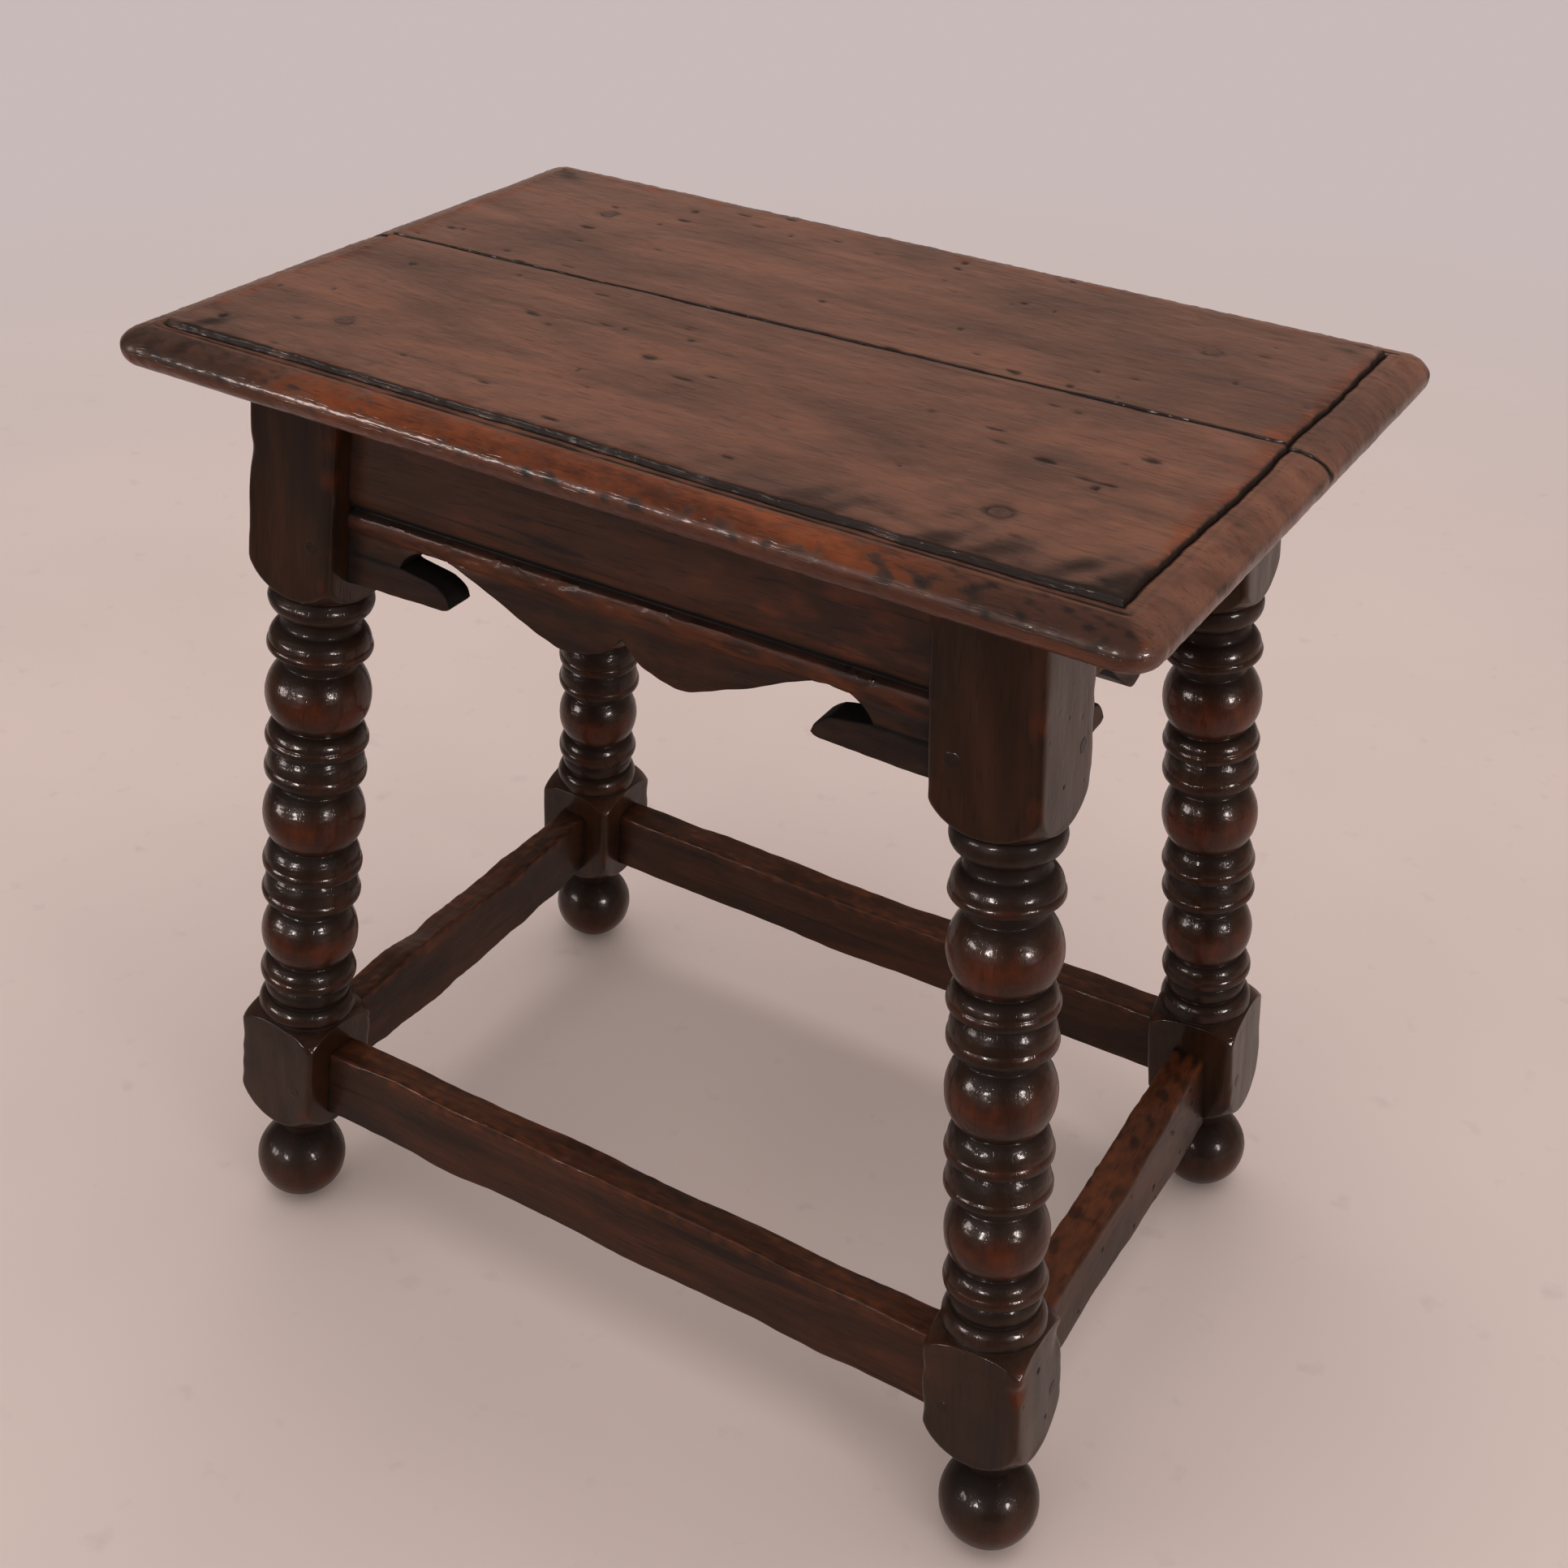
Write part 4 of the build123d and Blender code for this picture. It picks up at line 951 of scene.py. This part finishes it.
# Patterns of old oak: waves per metre along, across and through the grain, then detail, roughness
# and distortion. Vessels are 0.3 mm wide in life and drawn 1 mm wide so that they show at this size.
OAK_PATTERNS = {
    "figure": ((4.5, 22.0, 22.0), 3.0, 0.6, 1.9),  # broad growth, 45 mm wide and 220 mm long
    "streak": ((11.0, 230.0, 230.0), 3.0, 0.6, 0.4),  # yearly rings, 4 mm apart
    "fibre": ((38.0, 850.0, 850.0), 2.0, 0.5, 0.0),  # torn fibres, 1.2 mm by 26 mm
    "vessel": ((75.0, 1000.0, 1000.0), 1.0, 0.5, 0.0),  # open vessels, 13 mm long
    "shake": ((6.0, 170.0, 170.0), 2.0, 0.5, 0.6),  # dark shakes, 6 mm apart and 170 mm long
    "cloud": ((13.0, 20.0, 20.0), 3.0, 0.5, 0.0),  # stains, 50 to 77 mm
    "fringe": ((55.0, 260.0, 260.0), 2.0, 0.6, 0.0),  # torn edge of rubbed wood, 4 mm by 18 mm
    "mottle": ((110.0, 190.0, 190.0), 3.0, 0.6, 0.0),  # spots, 5 to 9 mm
    "swell": ((80.0, 140.0, 140.0), 2.0, 0.55, 0.0),  # knocks and scraper marks, 7 to 12 mm
}


def oak_finish(name, look):
    """Old oak, dark with smoke, wax and handling.

    Planed oak shows long vessels as fine dark dashes and a broad figure of lighter and darker growth
    (IOR about 1.5, no metal). Centuries of wax give it a soft body sheen with a harder shine over it
    where hands polish it; it wears orange-brown on edges, and dirt, with painted shade, goes near black in
    the hollows.
    """
    material = bpy.data.materials.new(name)
    tree = cleared_tree(material)
    grain = add_node(tree, "ShaderNodeAttribute", attribute_name="grain")["Vector"]
    wear, grime_and_shade, bored = (
        add_node(tree, "ShaderNodeAttribute", attribute_name=key)["Fac"] for key in ("wear", "grime_and_shade", "bored")
    )
    noise = {}
    for key, (scale, detail, roughness, distortion) in OAK_PATTERNS.items():
        spot = add_node(tree, "ShaderNodeMapping", {"Vector": grain, "Scale": scale})[0]
        amounts = {"Vector": spot, "Scale": 1.0, "Detail": detail, "Roughness": roughness}
        amounts["Distortion"] = distortion
        noise[key] = add_node(tree, "ShaderNodeTexNoise", amounts)["Fac"]
    paint = {key: linear(value) for key, value in look.items() if isinstance(value, str)}

    # Growth figure, yearly rings, stains and shakes: pattern, its range, the most it covers, colour.
    body = paint["dark"]
    growth = (
        ("figure", 0.34, 0.66, 1.0, "mid"),
        ("streak", 0.42, 0.7, look["streak"], "dark"),
        ("cloud", 0.48, 0.74, 0.65, "stain_and_shade"),
        ("shake", 0.64, 0.72, look["shake"], "dirt_and_shade"),
    )
    for key, low, high, most, colour in growth:
        share = add_node(tree, "ShaderNodeMapRange", (noise[key], low, high, 0.0, most))[0]
        body = add_node(tree, "ShaderNodeMix", {0: share, 6: body, 7: paint[colour]}, data_type="RGBA")[2]

    # Rubbed wood, with an edge torn along the grain and spotted.
    ragged = look["ragged"]
    rubbed = wear
    for key, amount in (("mottle", 0.46), ("fringe", 0.54)):
        torn = (noise[key], amount * ragged, rubbed)
        rubbed = add_node(tree, "ShaderNodeMath", torn, operation="MULTIPLY_ADD")[0]
    limits = (rubbed, 0.21 + 0.5 * ragged, 0.65 + 0.5 * ragged, 0.0, look["worn_share"])
    bare = add_node(tree, "ShaderNodeMapRange", limits)[0]
    blend = (noise["mottle"], 0.6, noise["figure"])
    blend = add_node(tree, "ShaderNodeMath", blend, operation="MULTIPLY_ADD")[0]
    share = add_node(tree, "ShaderNodeMapRange", (blend, 0.62, 1.0))[0]
    warm = {0: share, 6: paint["worn"], 7: paint["bright"]}
    warm = add_node(tree, "ShaderNodeMix", warm, data_type="RGBA")[2]
    body = add_node(tree, "ShaderNodeMix", {0: bare, 6: body, 7: warm}, data_type="RGBA")[2]

    # Dirt with painted shade in the hollows, open vessels, and beetle holes up to 4 mm wide and about 10 mm
    # apart.
    spot = add_node(tree, "ShaderNodeMapping", {"Vector": grain, "Scale": (100.0, 100.0, 100.0)})[0]
    nearest = add_node(tree, "ShaderNodeTexVoronoi", {"Vector": spot, "Scale": 1.0})["Distance"]
    hole = add_node(tree, "ShaderNodeMapRange", (nearest, 0.14, 0.22, 1.0, 0.0))[0]
    hole = add_node(tree, "ShaderNodeMath", (hole, bored), operation="MULTIPLY")[0]
    caked_and_shaded = add_node(tree, "ShaderNodeMath", (noise["mottle"], 0.5, grime_and_shade), operation="MULTIPLY_ADD")[0]
    caked_and_shaded = add_node(tree, "ShaderNodeMath", (hole, 1.2, caked_and_shaded), operation="MULTIPLY_ADD")[0]
    share = add_node(tree, "ShaderNodeMapRange", (caked_and_shaded, 0.35, 0.8, 0.0, look["smoked_and_shaded"]))[0]
    body = add_node(tree, "ShaderNodeMix", {0: share, 6: body, 7: paint["stain_and_shade"]}, data_type="RGBA")[2]
    dirt_and_shade = add_node(tree, "ShaderNodeMapRange", (caked_and_shaded, 0.68, 1.2))[0]
    share = add_node(tree, "ShaderNodeMath", (dirt_and_shade, look["caked_and_shaded"]), operation="MULTIPLY")[0]
    body = add_node(tree, "ShaderNodeMix", {0: share, 6: body, 7: paint["dirt_and_shade"]}, data_type="RGBA")[2]
    pores = add_node(tree, "ShaderNodeMapRange", (noise["vessel"], 0.6, 0.7))[0]
    share = add_node(tree, "ShaderNodeMath", (pores, 0.4), operation="MULTIPLY")[0]
    body = add_node(tree, "ShaderNodeMix", {0: share, 6: body, 7: paint["dirt_and_shade"]}, data_type="RGBA")[2]
    body = add_node(tree, "ShaderNodeMix", {0: hole, 6: body, 7: linear("#050303")}, data_type="RGBA")[2]

    # Wax shines least where dirt has caked and where shade is painted. The relief is fibre, vessels, holes
    # and knocks.
    limits = (noise["cloud"], 0.3, 0.7, look["rough"] - 0.05, look["rough"] + 0.07)
    rough = add_node(tree, "ShaderNodeMapRange", limits)[0]
    rough = add_node(tree, "ShaderNodeMath", (dirt_and_shade, 0.25, rough), operation="MULTIPLY_ADD")[0]
    waxed = add_node(tree, "ShaderNodeMapRange", (dirt_and_shade, 0.0, 1.0, look["coat"], look["coat"] * 0.2))[0]
    tall = hole
    for pattern, amount in ((pores, -0.6), (hole, -4.0), (noise["fibre"], 0.4), (noise["mottle"], 0.8)):
        tall = add_node(tree, "ShaderNodeMath", (pattern, amount, tall), operation="MULTIPLY_ADD")[0]
    fine = {"Strength": look["relief"], "Distance": 0.0006, "Height": tall}
    fine = add_node(tree, "ShaderNodeBump", fine)["Normal"]
    knocks = add_node(tree, "ShaderNodeMapRange", (wear, 0.55, 0.9, *look["knocks"]))[0]
    broad = {"Strength": knocks, "Distance": 0.0014, "Height": noise["swell"], "Normal": fine}
    broad = add_node(tree, "ShaderNodeBump", broad)["Normal"]
    shine = {
        "Base Color": body, "Roughness": rough, "IOR": 1.5, "Specular IOR Level": look["shine"],
        "Coat Weight": waxed, "Coat Roughness": look["coat_rough"], "Coat IOR": 1.45,
        "Normal": broad, "Coat Normal": broad,
    }
    shader = add_node(tree, "ShaderNodeBsdfPrincipled", shine)["BSDF"]
    add_node(tree, "ShaderNodeOutputMaterial", {"Surface": shader})
    return material


# Colours in sRGB, then how strongly each pattern shows, how waxed, and how rough.
# The dirt and stain colours paint dirt and also the painted shade that the grime attribute carries, by the
# caked and smoked amounts.
LOOKS = {
    "board_oak": {"dark": "#5b3829", "mid": "#784b36", "stain_and_shade": "#422a1f", "worn": "#4d210a",
                  "bright": "#803c13", "dirt_and_shade": "#1a110c", "streak": 0.22, "shake": 0.4, "ragged": 1.2,
                  "worn_share": 0.92, "smoked_and_shaded": 0.75, "caked_and_shaded": 0.85, "rough": 0.42, "relief": 0.3,
                  "knocks": (0.45, 1.0), "shine": 0.2, "coat": 0.5, "coat_rough": 0.14},
    "leg_oak": {"dark": "#27160d", "mid": "#3e2517", "stain_and_shade": "#1d120b", "worn": "#421d0c",
                "bright": "#5e2a10", "dirt_and_shade": "#1a100b", "streak": 0.4, "shake": 0.4, "ragged": 0.5,
                "worn_share": 0.9, "smoked_and_shaded": 0.15, "caked_and_shaded": 0.8, "rough": 0.34, "relief": 0.15,
                "knocks": (0.1, 0.7), "shine": 0.1, "coat": 0.4, "coat_rough": 0.12},
    "rail_oak": {"dark": "#2e190f", "mid": "#4b2a19", "stain_and_shade": "#20120b", "worn": "#4e2510",
                 "bright": "#6c3515", "dirt_and_shade": "#0f0a07", "streak": 0.5, "shake": 0.6, "ragged": 0.9,
                 "worn_share": 0.6, "smoked_and_shaded": 0.5, "caked_and_shaded": 0.93, "rough": 0.5, "relief": 0.12,
                 "knocks": (0.12, 0.6), "shine": 0.12, "coat": 0.1, "coat_rough": 0.16},
    "stretcher_oak": {"dark": "#2a170d", "mid": "#4a2816", "stain_and_shade": "#1c110a", "worn": "#50260e",
                      "bright": "#6e3817", "dirt_and_shade": "#0f0a08", "streak": 0.5, "shake": 0.6, "ragged": 1.1,
                      "worn_share": 0.5, "smoked_and_shaded": 0.4, "caked_and_shaded": 0.93, "rough": 0.42, "relief": 0.3,
                      "knocks": (0.2, 0.7), "shine": 0.12, "coat": 0.18, "coat_rough": 0.15},
    "riven_oak": {"dark": "#22140c", "mid": "#362115", "stain_and_shade": "#1a100a", "worn": "#331c10",
                  "bright": "#3f2415", "dirt_and_shade": "#140d0a", "streak": 0.5, "shake": 0.4, "ragged": 0.6,
                  "worn_share": 0.4, "smoked_and_shaded": 0.3, "caked_and_shaded": 0.7, "rough": 0.4, "relief": 0.06,
                  "knocks": (0.1, 0.2), "shine": 0.1, "coat": 0.4, "coat_rough": 0.15},
}


def finish_of(name):
    """The finish with that name, made the first time it is asked for."""
    return bpy.data.materials.get(name) or oak_finish(name, LOOKS[name])


def seed_of(kind, number):
    """The seed of the random draws for one of some like pieces, counted from nought."""
    first, step = SEEDS[kind]
    return first + step * number


# ---- settings, operators and panel ----
class StoolSettings(PropertyGroup):
    arris_wear: FloatProperty(
        name="Arris wear", description="How rounded the arrises of the leg blocks are, as a share",
        default=1.0, min=0.3, max=3.0,
    )
    dent_depth: FloatProperty(
        name="Dents", description="How deep the dents in the seat are, as a share", default=1.0,
        min=0.0, max=3.0,
    )
    floor_colour: FloatVectorProperty(
        name="Floor", description="Colour of the floor", subtype="COLOR", size=3,
        default=linear("#d6c6c0")[:3], min=0.0, max=1.0,
    )
    wall_colour: FloatVectorProperty(
        name="Backdrop", description="Colour behind the stool", subtype="COLOR", size=3,
        default=linear("#c8bab8")[:3], min=0.0, max=1.0,
    )
    floor_size: FloatProperty(
        name="Floor size", description="Width of the floor", default=14.0, unit="LENGTH",
        subtype="DISTANCE", min=4.0,
    )


class STOOL_OT_legs(Operator):
    """Build the four turned legs"""

    bl_idname = "stool.legs"
    bl_label = "Legs"

    def execute(self, context):
        wear = context.scene.stool.arris_wear
        for k, corner in enumerate(CORNERS):
            piece = make_piece(f"{corner}_leg_turned", [leg_surface(corner, seed_of("leg", k), wear)])
            fit_piece(piece, [f"{corner}_leg"], finish_of("leg_oak"))
        return {"FINISHED"}


class STOOL_OT_top(Operator):
    """Build the two boards of the top"""

    bl_idname = "stool.top"
    bl_label = "Top"

    def execute(self, context):
        depth = context.scene.stool.dent_depth
        for k, (name, way) in enumerate((("top_front_board", -1), ("top_rear_board", 1))):
            piece = make_piece(f"{name}_worn", [board_surface(way, seed_of("board", k), depth)], weld=True)
            fit_piece(piece, [name], finish_of("board_oak"))
        return {"FINISHED"}


class STOOL_OT_rails(Operator):
    """Build the four moulded rails"""

    bl_idname = "stool.rails"
    bl_label = "Rails"

    def execute(self, context):
        for k, (name, side, sign) in enumerate(SIDES):
            piece = make_piece(f"{name}_rail_moulded", rail_patches(side, sign, seed_of("rail", k)))
            fit_piece(piece, [f"{name}_rail"], finish_of("rail_oak"))
        return {"FINISHED"}


class STOOL_OT_stretchers(Operator):
    """Build the four stretchers"""

    bl_idname = "stool.stretchers"
    bl_label = "Stretchers"

    def execute(self, context):
        for k, (name, side, sign) in enumerate(SIDES):
            surface = stretcher_surface(name, side, sign, seed_of("stretcher", k))
            piece = make_piece(f"{name}_stretcher_hewn", [surface])
            fit_piece(piece, [f"{name}_stretcher"], finish_of("stretcher_oak"))
        return {"FINISHED"}


class STOOL_OT_pegs(Operator):
    """Build the pegs of the joints and of the top"""

    bl_idname = "stool.pegs"
    bl_label = "Pegs"

    def execute(self, context):
        for name, height in PEG_HEIGHTS.items():
            piece = make_piece(f"{name}_riven", side_peg_patches(height, SIDE_PEG_SEED + int(height)))
            fit_piece(piece, [name], finish_of("riven_oak"))
        piece = make_piece("top_pegs_riven", top_peg_patches(TOP_PEG_SEED))
        fit_piece(piece, ["top_pegs"], finish_of("board_oak"))
        return {"FINISHED"}


# Camera place in metres, its turn, tip and roll, its lens and the width of its sensor in millimetres.
CAMERA_PLACE = (0.43195, -0.73845, 0.85007)
CAMERA_AZIMUTH = math.radians(29.748)
CAMERA_HEIGHT = math.radians(33.481)
CAMERA_ROLL = math.radians(1.917)
CAMERA_LENS = 44.92
CAMERA_SENSOR = 36.0

# The lamps: name, direction to it from a point at the middle of the stool, distance from there in
# metres, width, height, watts, and whether matt surfaces and polished ones see it.
LAMP_AIM = (0.0, 0.0, 0.3)
LAMPS = (
    ("front_lamp", (-0.06, -0.95, 0.30), 3.0, 0.44, 0.44, 50.0, False, True),
    ("front_fill", (-0.06, -0.95, 0.30), 3.0, 0.6, 0.6, 6.0, True, False),
    ("right_lamp", (0.90, -0.34, 0.29), 3.0, 0.44, 0.48, 50.0, False, True),
    ("right_fill", (0.90, -0.34, 0.29), 3.0, 0.6, 0.6, 8.0, True, False),
    ("left_window", (-0.62, -0.76, 0.21), 3.0, 0.85, 0.5, 34.0, False, True),
    ("ceiling_glow", (0.0, -0.08, 1.0), 3.3, 3.2, 3.2, 27.0, True, False),
)


def floor_finish(colour, wall):
    """Pale painted floor: matt emulsion, almost even, with faint scuffs and a few specks.

    Far from the stool it fades to the colour of a pale wall for the camera. Polished surfaces see it
    dimmer on the viewer's side, where a viewer stands in the light.
    """
    material = bpy.data.materials.new("pale_floor")
    tree = cleared_tree(material)
    place = add_node(tree, "ShaderNodeTexCoord")["Object"]
    cloud = add_node(tree, "ShaderNodeTexNoise", {"Vector": place, "Scale": 3.0, "Detail": 3.0})["Fac"]
    scuff = add_node(tree, "ShaderNodeTexNoise", {"Vector": place, "Scale": 38.0, "Detail": 6.0})["Fac"]
    shade = add_node(tree, "ShaderNodeMapRange", (cloud, 0.3, 0.7, 0.96, 1.02))[0]
    mark = add_node(tree, "ShaderNodeMapRange", (scuff, 0.64, 0.78, 1.0, 0.88))[0]
    level = add_node(tree, "ShaderNodeMath", (shade, mark), operation="MULTIPLY")[0]
    tone = {0: 1.0, 6: (*colour, 1.0), 7: level}
    tone = add_node(tree, "ShaderNodeMix", tone, data_type="RGBA", blend_type="MULTIPLY")[2]
    paint = {"Base Color": tone, "Roughness": 0.7, "IOR": 1.45}
    near = add_node(tree, "ShaderNodeBsdfPrincipled", paint)["BSDF"]
    rays = add_node(tree, "ShaderNodeLightPath")
    depth = add_node(tree, "ShaderNodeSeparateXYZ", (place,))["Y"]
    gloom = add_node(tree, "ShaderNodeMapRange", (depth, -0.75, -0.12, 0.85, 0.1))[0]
    gloom = add_node(tree, "ShaderNodeMath", (gloom, rays["Is Glossy Ray"]), operation="MULTIPLY")[0]
    dark = add_node(tree, "ShaderNodeEmission", ((0.0, 0.0, 0.0, 1.0), 0.0))[0]
    near = add_node(tree, "ShaderNodeMixShader", (gloom, near, dark))[0]
    away = add_node(tree, "ShaderNodeVectorMath", (place,), operation="LENGTH")["Value"]
    share = add_node(tree, "ShaderNodeMapRange", (away, 0.75, 2.2), interpolation_type="SMOOTHSTEP")[0]
    share = add_node(tree, "ShaderNodeMath", (share, rays["Is Camera Ray"]), operation="MULTIPLY")[0]
    far = add_node(tree, "ShaderNodeEmission", (wall, 1.0))[0]
    shader = add_node(tree, "ShaderNodeMixShader", (share, near, far))[0]
    add_node(tree, "ShaderNodeOutputMaterial", {"Surface": shader})
    return material


def room_light(tree, wall):
    """Soft light of a pale room: brighter from above and behind the stool than from the viewer's side.

    The camera sees an even pale colour. Polished surfaces see the room dimmer than matt ones do, and
    dark on the viewer's side.
    """
    rays = add_node(tree, "ShaderNodeLightPath")
    heading = add_node(tree, "ShaderNodeTexCoord")["Object"]
    parts = add_node(tree, "ShaderNodeSeparateXYZ", (heading,))
    rise = add_node(tree, "ShaderNodeMath", (parts["Z"], 0.7, parts["Y"]), operation="MULTIPLY_ADD")[0]
    matt = add_node(tree, "ShaderNodeMapRange", (rise, -1.0, 1.0, 0.6, 1.18))[0]
    matt = add_node(tree, "ShaderNodeBackground", (linear("#e4dad6"), matt))[0]
    back = add_node(tree, "ShaderNodeMath", (parts["Z"], 0.27, parts["Y"]), operation="MULTIPLY_ADD")[0]
    polished = add_node(tree, "ShaderNodeMapRange", (back, -0.3, 0.85, 0.05, 0.46))[0]
    polished = add_node(tree, "ShaderNodeBackground", (linear("#e6cabd"), polished))[0]
    felt = add_node(tree, "ShaderNodeMixShader", (rays["Is Glossy Ray"], matt, polished))[0]
    seen = add_node(tree, "ShaderNodeBackground", (wall, 1.0))[0]
    both = add_node(tree, "ShaderNodeMixShader", (rays["Is Camera Ray"], felt, seen))[0]
    add_node(tree, "ShaderNodeOutputWorld", {"Surface": both})


class STOOL_OT_stage(Operator):
    """Set the floor, lamps, sky light and camera"""

    bl_idname = "stool.stage"
    bl_label = "Floor, light and camera"

    def execute(self, context):
        scene = context.scene
        settings = scene.stool
        half = settings.floor_size / 2
        mesh = bpy.data.meshes.new("floor")
        ends = ((-half, -half, 0), (half, -half, 0), (half, half, 0), (-half, half, 0))
        mesh.from_pydata(ends, [], [(0, 1, 2, 3)])
        floor = bpy.data.objects.new("floor", mesh)
        scene.collection.objects.link(floor)
        wall = (*settings.wall_colour, 1.0)
        mesh.materials.append(floor_finish(tuple(settings.floor_colour), wall))
        for name, way, distance, width, height, power, lights, mirrored in LAMPS:
            lamp = bpy.data.lights.new(name, "AREA")
            lamp.shape = "RECTANGLE"
            lamp.size, lamp.size_y, lamp.energy = width, height, power
            holder = bpy.data.objects.new(name, lamp)
            toward = Vector(way).normalized()
            holder.location = Vector(LAMP_AIM) + toward * distance
            holder.rotation_euler = toward.to_track_quat("Z", "Y").to_euler()
            holder.visible_camera = False
            holder.visible_diffuse, holder.visible_glossy = lights, mirrored
            lamp.color = linear("#fff0ea" if mirrored else "#ffffff")[:3]
            scene.collection.objects.link(holder)
        scene.world = bpy.data.worlds.new("room")
        room_light(cleared_tree(scene.world), wall)
        scene.view_settings.view_transform = "Standard"
        scene.camera = camera_object()
        scene.collection.objects.link(scene.camera)
        return {"FINISHED"}


def camera_object():
    """The camera: its axes are the view turned about the upright, tipped down and rolled."""
    az, el, roll = CAMERA_AZIMUTH, CAMERA_HEIGHT, CAMERA_ROLL
    back = Vector((math.sin(az) * math.cos(el), -math.cos(az) * math.cos(el), math.sin(el)))
    right = Vector((0, 0, 1)).cross(back).normalized()
    up = back.cross(right)
    x_axis = math.cos(roll) * right + math.sin(roll) * up
    y_axis = -math.sin(roll) * right + math.cos(roll) * up
    camera = bpy.data.cameras.new("camera")
    camera.sensor_width = CAMERA_SENSOR
    camera.lens = CAMERA_LENS
    holder = bpy.data.objects.new("camera", camera)
    turn = Matrix((x_axis, y_axis, back)).transposed().to_4x4()
    holder.matrix_world = Matrix.Translation(CAMERA_PLACE) @ turn
    return holder


class STOOL_PT_tools(Panel):
    """Buttons and settings of the joint stool"""

    bl_label = "Joint stool"
    bl_space_type = "VIEW_3D"
    bl_region_type = "UI"
    bl_category = "Stool"

    def draw(self, context):
        settings = context.scene.stool
        for name in ("arris_wear", "dent_depth", "floor_colour", "wall_colour", "floor_size"):
            self.layout.prop(settings, name)
        for operator in OPERATORS:
            self.layout.operator(operator.bl_idname)


OPERATORS = (STOOL_OT_legs, STOOL_OT_top, STOOL_OT_rails, STOOL_OT_stretchers, STOOL_OT_pegs, STOOL_OT_stage)
CLASSES = (StoolSettings, *OPERATORS, STOOL_PT_tools)


def register():
    for cls in CLASSES:
        bpy.utils.register_class(cls)
    bpy.types.Scene.stool = PointerProperty(type=StoolSettings)


def unregister():
    del bpy.types.Scene.stool
    for cls in reversed(CLASSES):
        bpy.utils.unregister_class(cls)


def main():
    register()
    bpy.ops.stool.legs()
    bpy.ops.stool.top()
    bpy.ops.stool.rails()
    bpy.ops.stool.stretchers()
    bpy.ops.stool.pegs()
    bpy.ops.stool.stage()


if __name__ == "__main__":
    main()
